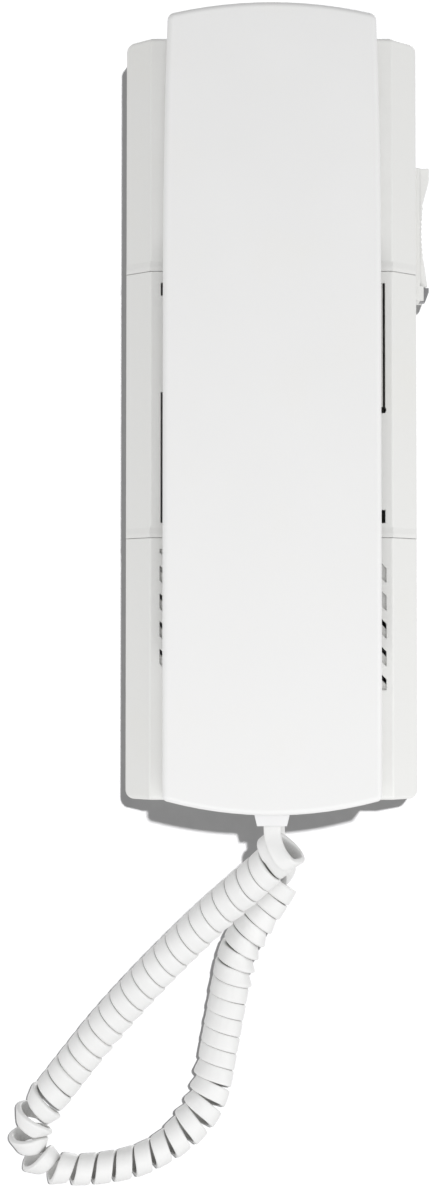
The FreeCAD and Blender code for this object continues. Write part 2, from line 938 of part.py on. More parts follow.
def call_speaker_gasket():
    """The foam ring between the frame's rim and the lower cover."""
    return ring(
        0, speaker_centre, speaker_radius, speaker_radius - gasket_width,
        ceiling_depth - speaker_gasket_thickness, ceiling_depth,
    )


def call_speaker_cone():
    """The paper cone with its surround and dust cap."""
    seat = speaker_radius - speaker_seat_width - loose_fit / 2
    ledge = rim_back() + speaker_rim_thickness / 3
    neck = cone_neck_radius
    shoulder = neck * 0.6
    deep = ledge - speaker_basket_tall * 0.6
    front = deep + cone_skin
    return lathe([
        (seat, ledge), (seat, ledge + cone_skin), (seat - cone_fold_width - cone_skin / 2, ledge + cone_skin),
        (neck, front), (shoulder, front + dust_cap_rise), (0, front + dust_cap_crown),
        (0, deep + dust_cap_crown), (shoulder, deep + dust_cap_rise), (neck, deep),
        (seat - cone_fold_width, ledge),
    ], 0, speaker_centre)


def call_speaker_magnet():
    """The round magnet under the frame's plate."""
    magnet = post(0, speaker_centre, magnet_radius, magnet_back(), plate_back())
    rims = [edge for edge in magnet.Edges if edge_lies_at(edge, "Y", -magnet_back())]
    return magnet.makeFillet(magnet_edge_radius, rims)


def switch_top():
    """Depth of the hook switch's front face."""
    return board_front + hook_switch_tall


def plunger_tip():
    """Depth of the plunger's tip while the handset hangs on it."""
    return handset_back_depth - loose_fit


def plunger_flange_front():
    """Depth of the flange's front face, one travel below the guide's end."""
    return ceiling_depth - guide_length - plunger_travel - 0.1


def hook_switch():
    """The switch on the board that the plunger works."""
    body = block(
        -hook_switch_width / 2, hook_switch_width / 2, board_front, switch_top(),
        hook_height_z - hook_switch_height / 2, hook_height_z + hook_switch_height / 2,
    )
    well = switch_top() - button_length + button_show - loose_fit
    return body.cut(post(0, hook_height_z, button_radius + running_fit, well, switch_top() + 1))


def hook_switch_button():
    """The switch's button, pushed in while the handset hangs."""
    top = switch_top() + button_show
    return post(0, hook_height_z, button_radius, top - button_length, top)


def hook_plunger():
    """A shaft with a flange for the spring and a stem that reaches the button."""
    flange_front = plunger_flange_front()
    flange_back = flange_front - plunger_flange_thickness
    shaft = post(0, hook_height_z, plunger_radius, flange_front - 0.1, plunger_tip())
    rim = [edge for edge in shaft.Edges if edge_lies_at(edge, "Y", -plunger_tip())]
    shaft = shaft.makeFillet(plunger_tip_round, rim)
    flange = post(0, hook_height_z, plunger_flange_radius, flange_back, flange_front)
    stem_end = switch_top() + button_show + loose_fit
    stem = post(0, hook_height_z, plunger_stem_radius, stem_end, flange_back + 0.1)
    return shaft.fuse([flange, stem]).removeSplitter()


def hook_spring():
    """The coil spring between the switch and the plunger's flange."""
    low = switch_top() + spring_wire / 2
    high = plunger_flange_front() - plunger_flange_thickness - spring_wire / 2
    rise = (high - low) / spring_turns
    centre = at(0, 0, hook_height_z)

    def place(turns):
        angle = 2 * math.pi * turns
        offset = V(math.cos(angle), 0, math.sin(angle)) * spring_radius
        return centre + offset + V(0, -low - rise * turns, 0)

    def heading(turns):
        angle = 2 * math.pi * turns
        around = V(-math.sin(angle), 0, math.cos(angle)) * spring_radius * 2 * math.pi
        return (around + V(0, -rise, 0)).normalize()

    edges = []
    for step in range(2 * spring_turns):
        start = step / 2
        end = start + 0.5
        edges += biarc(place(start), heading(start), place(end), heading(end))
    return swept(edges, spring_wire / 2)


def key_neck_span():
    """Lowest and highest point of the key's neck."""
    return key_neck_centre - key_neck_length / 2, key_neck_centre + key_neck_length / 2


def stop_top():
    """Height of the stop's upper face, just under the key."""
    return key_bottom - loose_fit


def bezel_bottom():
    """Height of the lower end of the bezel's opening."""
    return key_bottom - key_travel - rest_gap


def saddle_rise(z):
    """How far the key's hollow back stands out over its lowest place, at a height."""
    middle = (key_grip_top + key_grip_bottom) / 2
    return key_saddle_rise * ((z - middle) / (key_grip_top - middle)) ** 2


def side_slider():
    """The saddle-shaped key: grip teeth, a slot over the stop, a neck through the wall and a forked foot."""
    horn = base_half + key_horn_reach
    saddle = base_half + key_saddle_reach
    points = [
        (key_out, key_bottom), (base_half + key_low_reach, key_bottom),
        (base_half + key_knee_reach, key_bottom + key_knee_rise),
    ]
    z = key_grip_bottom
    teeth = round((key_grip_top - key_grip_bottom) / key_tooth_pitch)
    pitch = (key_grip_top - key_grip_bottom) / teeth
    for index in range(teeth):
        points.append((saddle + saddle_rise(z + pitch * index), z + pitch * index))
        tip = z + pitch * (index + 0.5)
        points.append((saddle + saddle_rise(tip) + key_tooth_height, tip))
    points.append((saddle + key_saddle_rise, key_grip_top))
    points.append((horn, key_top - key_horn_length))
    points.append((horn, key_top))
    points.append((key_out, key_top))
    low = key_middle_depth - key_width / 2
    wire = polygon([at(x, low, height) for x, height in points])
    key = Part.Face(wire).extrude(V(0, -key_width, 0))

    neck_low, neck_high = key_neck_span()
    inner_wall = base_half - tray_wall
    flange_out = inner_wall - loose_fit
    flange_in = flange_out - key_flange_thickness
    half = key_neck_thickness / 2
    foot_in = slide_switch_right + lever_length - lever_inside - lever_overlap
    neck = block(
        foot_in, saddle, key_middle_depth - half, key_middle_depth + half, neck_low, neck_high
    )
    flange = block(
        flange_in, flange_out,
        key_middle_depth - half - key_flange_margin / 2, key_middle_depth + half + key_flange_margin / 2,
        neck_low - key_flange_margin - key_travel / 2, neck_high + key_flange_margin,
    )
    notch = block(
        foot_in - 1, foot_in + lever_overlap + loose_fit,
        key_middle_depth - half - 1, key_middle_depth + half + 1,
        key_neck_centre - lever_size / 2 - running_fit, key_neck_centre + lever_size / 2 + running_fit,
    )
    stop_half = stop_width / 2 + loose_fit
    stop_slot = block(
        base_half, horn + 1, key_middle_depth - stop_half, key_middle_depth + stop_half,
        key_bottom - 1, stop_top() + key_travel + rest_gap,
    )
    return key.fuse([neck, flange]).cut([notch, stop_slot]).removeSplitter()


def slider_bezel():
    """The two rails on the base's right edge that the key runs between, joined at their lower end."""
    low = key_middle_depth - key_width / 2 - rest_gap
    high = key_middle_depth + key_width / 2 + rest_gap
    bottom = bezel_bottom() - bezel_end_wall
    reach = base_half + bezel_reach
    foot_reach = base_half + bezel_foot_reach
    rails = block(base_half, reach, low - bezel_wall, high + bezel_wall, bottom, key_top)
    opening = block(base_half - 1, reach + 1, low, high, bezel_bottom(), key_top + 1)
    feet = [
        block(base_half, foot_reach, low - bezel_wall, low, bottom, key_bottom),
        block(base_half, foot_reach, high, high + bezel_wall, bottom, key_bottom),
    ]
    return rails.cut(opening).fuse(feet).removeSplitter()


def slider_stop():
    """The tapered block under the key, seated on the bezel's end and pegged into the base's wall."""
    bottom = bezel_bottom() - bezel_end_wall
    top = stop_top()
    reach = base_half + bezel_reach
    points = [
        (base_half, bezel_bottom()), (reach, bezel_bottom()), (reach, bottom),
        (base_half + stop_low_reach, bottom), (base_half + stop_reach, top - stop_knee_drop),
        (base_half + stop_reach, top), (base_half, top),
    ]
    low = key_middle_depth - stop_width / 2
    wire = polygon([at(x, low, z) for x, z in points])
    stop = Part.Face(wire).extrude(V(0, -stop_width, 0))
    peg = Part.makeCylinder(
        stop_peg_radius, stop_peg_length + bezel_reach,
        at(base_half - stop_peg_length, key_middle_depth, (bezel_bottom() + top) / 2), V(1, 0, 0),
    )
    return stop.fuse(peg).removeSplitter()


def lever_span():
    """Left and right ends of the slide switch's lever."""
    left = slide_switch_right - lever_inside
    return left, left + lever_length


def slide_switch():
    """The slide switch on the board, with a slot for its lever."""
    half = slide_switch_height / 2
    body = block(
        slide_switch_right - slide_switch_width, slide_switch_right,
        board_front, board_front + slide_switch_tall, key_neck_centre - half, key_neck_centre + half,
    )
    left, _ = lever_span()
    reach = lever_size / 2
    slot = block(
        left - loose_fit, slide_switch_right + 1,
        key_middle_depth - reach - loose_fit, key_middle_depth + reach + loose_fit,
        key_neck_centre - reach - key_travel - rest_gap, key_neck_centre + reach + rest_gap,
    )
    return body.cut(slot)


def slide_switch_lever():
    """The lever that the key's foot takes along."""
    left, right = lever_span()
    reach = lever_size / 2
    return block(
        left, right, key_middle_depth - reach, key_middle_depth + reach,
        key_neck_centre - reach, key_neck_centre + reach,
    )


def base_cord_grommet():
    """The moulded grommet in the base's lower end wall."""
    low = base_bottom - grommet_flange_thickness
    axis = V(0, 0, 1)
    neck = Part.makeCylinder(
        grommet_neck_radius, tray_wall + 2 * grommet_flange_thickness, at(grommet_x, grommet_depth, low), axis
    )
    outer = Part.makeCylinder(
        grommet_flange_radius, grommet_flange_thickness, at(grommet_x, grommet_depth, low), axis
    )
    inner = Part.makeCylinder(
        grommet_flange_radius, grommet_flange_thickness,
        at(grommet_x, grommet_depth, base_bottom + tray_wall), axis,
    )
    return neck.fuse([outer, inner]).removeSplitter()


def base_cord_tail():
    """The cord's inner end, from the grommet round the speaker to the board's edge."""
    start = base_bottom + tray_wall + grommet_flange_thickness
    middle = board_depth + board_thickness / 2
    drop = grommet_depth - middle
    cradle = cradle_outer()
    side = cradle + tail_swing
    return lead("base_cord_tail", [
        (grommet_x, grommet_depth, start), (grommet_x, grommet_depth, start + tail_straight),
        ((grommet_x + side) / 2, grommet_depth - drop * 0.25, speaker_centre - cradle * 2.2),
        (side, grommet_depth - drop * 0.6, speaker_centre - cradle),
        (side, middle + drop * 0.2, speaker_centre + cradle / 2),
        (cradle, middle + drop * 0.1, speaker_centre + cradle * 1.6),
        (board_lead_x, middle, board_bottom - tail_straight / 2), (board_lead_x, middle, board_bottom),
    ], tail_radius)


def speaker_leads():
    """The lead from the frame's tag to the board's edge."""
    tag_end = speaker_tag_end()
    tag_depth = plate_back() + speaker_basket_wall / 2
    middle = board_depth + board_thickness / 2
    drop = tag_depth - middle
    side = -board_lead_x
    reach = board_bottom - tag_end
    return lead("speaker_leads", [
        (0, tag_depth, tag_end), (0, tag_depth, tag_end + reach / 4),
        (side * 0.4, tag_depth - drop * 0.35, tag_end + reach / 2),
        (side * 0.9, middle + drop * 0.25, board_bottom - reach * 0.3),
        (side, middle, board_bottom - reach * 0.15), (side, middle, board_bottom),
    ], lead_radius)


def side_bow(inset):
    """Centre, across, and radius of the arc that draws the handset's side in towards its top."""
    rise = handset_top_corner() - top_bow_start
    radius = (rise ** 2 + top_bow ** 2) / (2 * top_bow)
    return handset_half - radius, radius - inset


def handset_top_corner():
    """Height at which the handset's side meets its top arch."""
    half = handset_half - top_bow
    return handset_top - top_arc_radius + math.sqrt(top_arc_radius ** 2 - half ** 2)


def arc_meeting(x0, z0, r0, x1, z1, r1):
    """The upper right place where two arcs meet, from their centres and radii."""
    apart = math.hypot(x1 - x0, z1 - z0)
    along = (apart ** 2 + r0 ** 2 - r1 ** 2) / (2 * apart)
    off = math.sqrt(r0 ** 2 - along ** 2)
    ux, uz = (x1 - x0) / apart, (z1 - z0) / apart
    places = [(x0 + ux * along - uz * off, z0 + uz * along + ux * off),
              (x0 + ux * along + uz * off, z0 + uz * along - ux * off)]
    return max(places)


def handset_outline(inset, depth):
    """The handset's plan with arched ends, moved in by an inset, as a wire at a depth."""
    half = handset_half - inset
    top = handset_top - inset
    bottom = handset_bottom + inset
    top_radius = top_arc_radius - inset
    bottom_radius = bottom_arc_radius - inset
    bow_centre, bow_radius = side_bow(inset)
    top_half, top_corner = arc_meeting(0, top - top_radius, top_radius, bow_centre, top_bow_start, bow_radius)
    middle = (top_bow_start + top_corner) / 2
    middle_half = bow_centre + math.sqrt(bow_radius ** 2 - (middle - top_bow_start) ** 2)
    bottom_corner = bottom + bottom_radius - math.sqrt(bottom_radius ** 2 - half ** 2)
    top_left = at(-top_half, depth, top_corner)
    top_right = at(top_half, depth, top_corner)
    bow_left = at(-half, depth, top_bow_start)
    bow_right = at(half, depth, top_bow_start)
    bottom_left = at(-half, depth, bottom_corner)
    bottom_right = at(half, depth, bottom_corner)
    return Part.Wire([
        Part.Arc(top_left, at(0, depth, top), top_right).toShape(),
        Part.Arc(top_right, at(middle_half, depth, middle), bow_right).toShape(),
        Part.LineSegment(bow_right, bottom_right).toShape(),
        Part.Arc(bottom_right, at(0, depth, bottom), bottom_left).toShape(),
        Part.LineSegment(bottom_left, bow_left).toShape(),
        Part.Arc(bow_left, at(-middle_half, depth, middle), top_left).toShape(),
    ])


def handset_prism(inset, d0, d1):
    """A prism over the handset's plan."""
    return Part.Face(handset_outline(inset, d0)).extrude(V(0, d0 - d1, 0))


def handset_body(d0, d1, face):
    """The outside of one half of the handset, with rounded corners and a rounded outer face."""
    body = handset_prism(0, d0, d1)
    corners = [edge for edge in body.Edges if edge_runs(edge, V(0, 1, 0))]
    top = [edge for edge in corners if abs(edge.BoundBox.ZMin - handset_top_corner()) < 1e-4]
    body = body.makeFillet(top_corner_radius, top)
    bottom = [edge for edge in body.Edges if edge_runs(edge, V(0, 1, 0)) and edge.BoundBox.ZMax < 0]
    bottom = [edge for edge in bottom if abs(abs(edge.BoundBox.XMin) - handset_half) < 1e-4]
    body = body.makeFillet(bottom_corner_radius, bottom)
    rim = [edge for edge in body.Edges if edge_lies_at(edge, "Y", -face)]
    return body.makeFillet(handset_edge_radius, rim)


def grip_profile(wall):
    """Side profile of the hollow behind the grip, with its walls moved in by a wall."""
    slope = math.hypot(grip_sink, grip_ramp)
    ramp_shift = wall * (slope - grip_ramp) / grip_sink
    low = handset_back_depth - 1
    floor = grip_depth + wall
    reach = grip_ramp * (floor - low) / grip_sink
    top = grip_top + ramp_shift
    bottom = grip_bottom - ramp_shift
    return [(floor, bottom), (floor, top), (low, top + reach), (low, bottom - reach)]


def relief_opening():
    """The opening in the handset's lower end for the strain relief's neck."""
    half = tab_neck_width / 2 + thread_fit
    tall = tab_neck_thickness / 2 + thread_fit
    return block(
        -half, half, tab_depth - tall, tab_depth + tall, handset_bottom - 1, handset_bottom + handset_wall + 1
    )


def handset_front_shell():
    """The flat front of the handset, with screw bosses, weight ribs and the capsule's prop."""
    shell = handset_body(handset_joint_depth, handset_face_depth, handset_face_depth)
    shell = shell.cut(handset_prism(handset_wall, handset_joint_depth - 1, handset_ceiling_depth))
    root = handset_ceiling_depth + handset_face_wall / 4
    added = [post(x, z, boss_radius, handset_joint_depth, root) for x, z in handset_screws_at]
    prop = ring(
        0, earpiece_z, earpiece_back_radius / 2, earpiece_back_radius / 2 - ballast_rib,
        earpiece_back(), root,
    )
    added.append(prop)
    rib_in = ballast_width / 2 + loose_fit
    for side in (-1, 1):
        edges = sorted([side * rib_in, side * (rib_in + ballast_rib)])
        added.append(block(
            edges[0], edges[1], handset_ceiling_depth - ballast_thickness, root,
            ballast_centre - ballast_length / 2, ballast_centre + ballast_length / 2,
        ))
    shell = shell.fuse(added)
    pilot = screw_shank_radius + thread_fit
    cuts = [
        post(x, z, pilot, handset_joint_depth - 1, handset_joint_depth + handset_bite + 1)
        for x, z in handset_screws_at
    ]
    return shell.cut(cuts + [relief_opening()]).removeSplitter()


def handset_screw_seat():
    """Depth at which the handset screws' heads bear."""
    return grip_depth + screw_head_height + rest_gap


def handset_back_shell():
    """The ear cap, grip and mouth cap in one shell, with the lug's pocket."""
    shell = handset_body(handset_back_depth, handset_joint_depth, handset_back_depth)
    shell = shell.cut(along_x(grip_profile(0), -handset_half - 1, handset_half + 1))
    hollow = handset_prism(handset_wall, handset_floor_depth, handset_joint_depth + 1)
    hollow = hollow.cut(along_x(grip_profile(handset_wall), -handset_half - 1, handset_half + 1))
    shell = shell.cut(hollow)

    floor = handset_floor_depth - handset_wall / 4
    pocket_tip = plateau_depth + lug_reach + rest_gap
    pocket = lug_profile(rest_gap, handset_back_depth - 1, pocket_tip)
    lowest = min(z for _, z in pocket)
    highest = max(z for _, z in pocket)
    pocket_half = lug_width / 2 + rest_gap
    housing = block(
        -pocket_half - pocket_wall, pocket_half + pocket_wall, floor, pocket_tip + pocket_wall,
        lowest - pocket_wall / 2, highest + pocket_wall,
    )
    collar_inner = earpiece_radius + loose_fit
    collar = ring(
        0, earpiece_z, collar_inner + earpiece_collar_wall, collar_inner,
        floor, handset_floor_depth + earpiece_collar_height,
    )
    seat = handset_screw_seat()
    added = [housing, collar]
    added += [
        post(x, z, pillar_radius, grip_floor_depth - handset_wall / 4, handset_joint_depth)
        for x, z in handset_screws_at
    ]
    shell = shell.fuse(added)

    cuts = [along_x(pocket, -pocket_half, pocket_half), relief_opening()]
    for x, z in handset_screws_at:
        cuts.append(post(x, z, screw_hole_radius, grip_depth - 1, handset_joint_depth + 1))
        cuts.append(post(x, z, counterbore_radius, grip_depth - 1, seat))
    cuts.append(post(0, earpiece_z, ear_hole_radius, handset_back_depth - 1, handset_floor_depth + 1))
    for index in range(ear_hole_count):
        angle = 2 * math.pi * index / ear_hole_count
        x = ear_hole_circle * math.cos(angle)
        z = earpiece_z + ear_hole_circle * math.sin(angle)
        cuts.append(post(x, z, ear_hole_radius, handset_back_depth - 1, handset_floor_depth + 1))
    for index in range(mouth_slot_count):
        z = microphone_z + (index - (mouth_slot_count - 1) / 2) * mouth_slot_pitch
        cuts.append(block(
            -mouth_slot_length / 2, mouth_slot_length / 2, handset_back_depth - 1, handset_floor_depth + 1,
            z - mouth_slot_width / 2, z + mouth_slot_width / 2,
        ))
    return shell.cut(cuts).removeSplitter()


def handset_screws():
    """Two screws from the back of the grip into the front shell."""
    seat = handset_screw_seat()
    length = handset_joint_depth + handset_bite - seat
    return Part.makeCompound([
        screw(x, z, seat, 1, screw_head_radius, screw_head_height, screw_shank_radius, length)
        for x, z in handset_screws_at
    ])


def earpiece_front():
    """Depth of the earpiece capsule's face on its gasket."""
    return handset_floor_depth + earpiece_gasket_thickness


def earpiece_back():
    """Depth of the earpiece capsule's rear face."""
    return earpiece_front() + earpiece_rim_thickness + earpiece_back_thickness


def earpiece_gasket():
    """The foam ring between the ear cap and the capsule."""
    return ring(
        0, earpiece_z, earpiece_radius, earpiece_radius - earpiece_gasket_width,
        handset_floor_depth, earpiece_front(),
    )


def earpiece_capsule():
    """The receiver capsule: a wide rim, a narrower back and a tag for its leads."""
    step = earpiece_front() + earpiece_rim_thickness
    body = lathe([
        (0, earpiece_front()), (earpiece_radius, earpiece_front()), (earpiece_radius, step),
        (earpiece_back_radius, step), (earpiece_back_radius, earpiece_back()), (0, earpiece_back()),
    ], 0, earpiece_z)
    tag_back = earpiece_back() - earpiece_tag_inset
    tag = block(
        -ear_lead_x - earpiece_tag_width / 2, -ear_lead_x + earpiece_tag_width / 2,
        tag_back - earpiece_tag_thickness, tag_back,
        earpiece_z - earpiece_radius - earpiece_tag_show, earpiece_z - earpiece_back_radius / 2,
    )
    return body.fuse(tag).removeSplitter()


def microphone_sleeve():
    """The rubber sleeve that holds the microphone behind the mouth slots."""
    radius = microphone_radius + sleeve_wall
    sleeve = post(0, microphone_z, radius, handset_floor_depth, handset_floor_depth + sleeve_length)
    bore = post(
        0, microphone_z, microphone_radius, handset_floor_depth + sleeve_floor,
        handset_floor_depth + sleeve_length + 1,
    )
    mouth = post(0, microphone_z, microphone_radius * 0.6, handset_floor_depth - 1, handset_floor_depth + 2)
    return sleeve.cut([bore, mouth])


def microphone_capsule():
    """The small round microphone."""
    front = handset_floor_depth + sleeve_floor
    return post(0, microphone_z, microphone_radius - running_fit, front, front + microphone_length)


def ballast_weight():
    """The steel bar that gives the handset its weight on the hook."""
    return block(
        -ballast_width / 2, ballast_width / 2,
        handset_ceiling_depth - ballast_thickness, handset_ceiling_depth,
        ballast_centre - ballast_length / 2, ballast_centre + ballast_length / 2,
    )


def relief_inner_face():
    """Height of the strain relief's inner face, where the handset's leads start."""
    return handset_bottom + handset_wall + rest_gap + tab_flange_thickness


def handset_strain_relief():
    """The tapered tab under the handset, held by a neck and an inner flange."""
    def rectangle(width, thickness, z):
        return polygon([
            at(-width / 2, tab_depth - thickness / 2, z), at(width / 2, tab_depth - thickness / 2, z),
            at(width / 2, tab_depth + thickness / 2, z), at(-width / 2, tab_depth + thickness / 2, z),
        ])

    tab_root = handset_bottom + handset_wall / 2
    tab = Part.makeLoft([
        rectangle(tab_width, tab_thickness, tab_root),
        rectangle(tab_end_width, tab_end_thickness, tab_tip),
    ], True, True)
    tab = tab.cut(handset_prism(0, handset_back_depth, handset_face_depth))
    half = tab_neck_width / 2
    tall = tab_neck_thickness / 2
    inner = relief_inner_face()
    neck = block(-half, half, tab_depth - tall, tab_depth + tall, handset_bottom - 0.5, inner)
    flange = block(
        -tab_flange_width / 2, tab_flange_width / 2,
        tab_depth - tab_thickness / 2, tab_depth + tab_thickness / 2,
        inner - tab_flange_thickness, inner,
    )
    return tab.fuse([neck, flange]).removeSplitter()


def earpiece_leads():
    """The lead from the earpiece's tag, over the grip and past the microphone, to the strain relief."""
    tag_end = earpiece_z - earpiece_radius - earpiece_tag_show
    tag_depth = earpiece_back() - earpiece_tag_inset - earpiece_tag_thickness / 2
    run_depth = (grip_floor_depth + handset_ceiling_depth - ballast_thickness) / 2
    weight_top = ballast_centre + ballast_length / 2
    weight_bottom = ballast_centre - ballast_length / 2
    side = ear_lead_x
    end = relief_inner_face()
    return lead("earpiece_leads", [
        (-side, tag_depth, tag_end), (-side, tag_depth, tag_end - side),
        (-side * 1.06, run_depth - lead_radius / 2, weight_top + side / 4),
        (-side, run_depth, ballast_centre - side / 2),
        (-side * 1.04, run_depth - lead_radius / 3, weight_bottom - side),
        (-side * 1.02, run_depth, microphone_z - sleeve_wall),
        (-relief_lead_x, tab_depth, end + microphone_radius + sleeve_wall),
        (-relief_lead_x, tab_depth, end),
    ], lead_radius)


def microphone_leads():
    """The lead from the microphone's back to the strain relief."""
    start = handset_floor_depth + sleeve_floor + microphone_length
    end = relief_inner_face()
    drop = microphone_z - end
    rise = handset_ceiling_depth - start
    return lead("microphone_leads", [
        (relief_lead_x, start, microphone_z), (relief_lead_x, start + rise * 0.3, microphone_z),
        (relief_lead_x * 1.1, start + rise * 0.55, microphone_z - drop / 6),
        (relief_lead_x, start + rise * 0.53, microphone_z - drop * 0.45),
        (relief_lead_x, tab_depth, end + drop / 5), (relief_lead_x, tab_depth, end),
    ], lead_radius)


def arc(start, heading, end):
    """An arc that leaves start along a heading and goes through end."""
    chord = end - start
    along = V(chord).normalize()
    cosine = max(-1, min(1, heading.dot(along)))
    side = heading - along * cosine
    if side.Length < 1e-6:
        return Part.LineSegment(start, end).toShape()
    side.normalize()
    middle = (start + end) * 0.5 + side * (chord.Length / 2 * math.tan(math.acos(cosine) / 2))
    return Part.Arc(start, middle, end).toShape()


def biarc(start, start_heading, end, end_heading):
    """Two arcs that share a tangent and join two points with given headings."""
    gap = end - start
    total = start_heading + end_heading
    spread = 2 * (1 - start_heading.dot(end_heading))
    if abs(spread) < 1e-9:
        reach = gap.dot(gap) / (4 * gap.dot(end_heading))
    else:
        reach = (-gap.dot(total) + math.sqrt(gap.dot(total) ** 2 + spread * gap.dot(gap))) / spread
    joint = (start + end + (start_heading - end_heading) * reach) * 0.5
    joint_heading = ((end - end_heading * reach) - (start + start_heading * reach)).normalize()
    return [arc(start, start_heading, joint), arc(joint, joint_heading, end)]


def route_point(points, place):
    """A point on the smooth line that the route's points steer, from 0 to 1."""
    spans = len(points) - 2
    span = min(int(place * spans), spans - 1)
    t = place * spans - span
    a = points[0] if span == 0 else (points[span] + points[span + 1]) * 0.5
    b = points[span + 1]
    c = points[-1] if span == spans - 1 else (points[span + 1] + points[span + 2]) * 0.5
    return a * (1 - t) ** 2 + b * (2 * t * (1 - t)) + c * t ** 2


def pitch_at(here):
    """The coil's pitch: regular, a little open along the bottom, and widest at the sharp fold."""
    pitch = low_pitch if here.z < low_level else coil_pitch
    near = 2 * (1 - here.distanceToPoint(at(*fold_place)) / fold_reach)
    return pitch + (fold_pitch - pitch) * max(0, min(1, near))


def coil_line():
    """Points, headings and sides of the coil's middle line in small steps, with its turns."""
    points = [at(*point) for point in coil_route]
    line = [route_point(points, index / route_steps) for index in range(route_steps + 1)]
    side = V(0.7, 0, -0.7)
    turned = 0.0
    track = []
    for index, here in enumerate(line):
        before = line[max(index - 1, 0)]
        after = line[min(index + 1, route_steps)]
        heading = (after - before).normalize()
        side = (side - heading * side.dot(heading)).normalize()
        if index > 0:
            turned += here.distanceToPoint(before) / pitch_at(here)
        track.append((turned, here, heading, V(side)))
    return track


def on_track(track, turns):
    """The middle line's point and axes after a number of turns."""
    low = 0
    high = len(track) - 1
    while high - low > 1:
        middle = (low + high) // 2
        if track[middle][0] > turns:
            high = middle
        else:
            low = middle
    share = (turns - track[low][0]) / (track[high][0] - track[low][0])
    share = max(0, min(1, share))
    place = track[low][1] + (track[high][1] - track[low][1]) * share
    heading = (track[low][2] + (track[high][2] - track[low][2]) * share).normalize()
    side = (track[low][3] + (track[high][3] - track[low][3]) * share).normalize()
    return place, heading, side


def coil_point(track, turns):
    """A point of the wire after a number of turns, wound left-handed."""
    place, heading, side = on_track(track, turns)
    front = heading.cross(side)
    angle = 2 * math.pi * turns
    return place + (front * math.cos(angle) + side * math.sin(angle)) * coil_radius


def coil_heading(track, turns, total):
    """The wire's direction after a number of turns."""
    small = 0.004
    ahead = coil_point(track, min(turns + small, total))
    behind = coil_point(track, max(turns - small, 0))
    return (ahead - behind).normalize()


def least_self_gap(edges):
    """The least gap between the wire and itself, measured on points along it."""
    points = []
    run = 0.0
    for edge in edges:
        count = max(2, int(edge.Length / gap_sample))
        for value in edge.discretize(count + 1)[:-1]:
            if points:
                run += value.distanceToPoint(points[-1][1])
            points.append((run, value))
    least = 1e9
    skip = 4 * cord_radius
    for index, (run, here) in enumerate(points):
        for other_run, other in points[index + 1:]:
            if other_run - run > skip:
                least = min(least, here.distanceToPoint(other))
    return least - 2 * cord_radius


def curly_cord():
    """The whole cord: a straight lead, the left-handed curls and the lead into the base."""
    track = coil_line()
    total = math.floor(track[-1][0]) - 0.5
    start = coil_point(track, 0)
    start_heading = coil_heading(track, 0, total)
    tab = at(0, tab_depth, tab_tip)
    down = V(0, 0, -1)
    edges = [Part.LineSegment(tab, tab + down * lead_straight).toShape()]
    edges += biarc(tab + down * lead_straight, down, start, start_heading)
    for step in range(int(2 * total)):
        here = step / 2
        after = here + 0.5
        edges += biarc(
            coil_point(track, here), coil_heading(track, here, total),
            coil_point(track, after), coil_heading(track, after, total),
        )
    end = coil_point(track, total)
    end_heading = coil_heading(track, total, total)
    entry = at(grommet_x, grommet_depth, base_bottom - grommet_flange_thickness)
    up = V(0, 0, 1)
    rise = at(*rise_place)
    bulge = at(*bulge_place)
    edges += biarc(end, end_heading, rise, up)
    edges += biarc(rise, up, bulge, up)
    edges += biarc(bulge, up, entry - up * lead_straight, up)
    edges.append(Part.LineSegment(entry - up * lead_straight, entry).toShape())
    radii = [edge.Curve.Radius for edge in edges if hasattr(edge.Curve, "Radius")]
    print("curly_cord curls", total, "wire length", round(sum(edge.Length for edge in edges), 1))
    print("curly_cord least radius", round(min(radii), 2), "on a wire of", 2 * cord_radius)
    print("curly_cord least gap to itself", round(least_self_gap(edges), 2))
    return swept(edges, cord_radius)


PIECES = [
    rear_shell, upper_cover, middle_panel, lower_cover, cover_screws,
    circuit_board, board_screws, terminal_block, terminal_screws, speech_transformer, capacitors,
    call_speaker_frame, call_speaker_gasket, call_speaker_cone, call_speaker_magnet,
    hook_plunger, hook_spring, hook_switch, hook_switch_button,
    side_slider, slider_bezel, slider_stop, slide_switch, slide_switch_lever,
    base_cord_grommet, base_cord_tail, speaker_leads,
    handset_front_shell, handset_back_shell, handset_screws,
    earpiece_capsule, earpiece_gasket, microphone_capsule, microphone_sleeve, ballast_weight,
    earpiece_leads, microphone_leads, handset_strain_relief,
    curly_cord,
]

os.makedirs("parts", exist_ok=True)
for make_piece in PIECES:
    piece = make_piece()
    name = make_piece.__name__
    print(name, "valid", piece.isValid(), "solids", len(piece.Solids), "volume", round(piece.Volume, 1))
    piece.exportStep("parts/" + name + ".step")
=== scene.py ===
"""Slimline wall phone: finishes, flat curly cord, stage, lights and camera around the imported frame."""

import math

import bmesh
import bpy
from mathutils import Matrix, Vector


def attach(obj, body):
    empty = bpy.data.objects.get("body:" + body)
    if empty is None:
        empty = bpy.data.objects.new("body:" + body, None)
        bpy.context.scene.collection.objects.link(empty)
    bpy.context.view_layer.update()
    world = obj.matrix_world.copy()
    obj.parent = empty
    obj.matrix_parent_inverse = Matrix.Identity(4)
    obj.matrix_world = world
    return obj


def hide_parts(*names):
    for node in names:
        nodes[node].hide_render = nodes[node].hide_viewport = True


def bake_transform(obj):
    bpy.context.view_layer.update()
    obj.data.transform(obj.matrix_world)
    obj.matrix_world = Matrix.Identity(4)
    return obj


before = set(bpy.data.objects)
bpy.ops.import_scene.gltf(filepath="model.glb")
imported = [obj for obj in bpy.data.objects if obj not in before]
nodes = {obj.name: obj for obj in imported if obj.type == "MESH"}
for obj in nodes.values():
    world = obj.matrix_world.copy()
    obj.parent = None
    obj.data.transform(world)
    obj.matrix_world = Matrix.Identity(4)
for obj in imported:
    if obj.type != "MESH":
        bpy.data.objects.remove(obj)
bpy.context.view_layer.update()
scene = bpy.context.scene
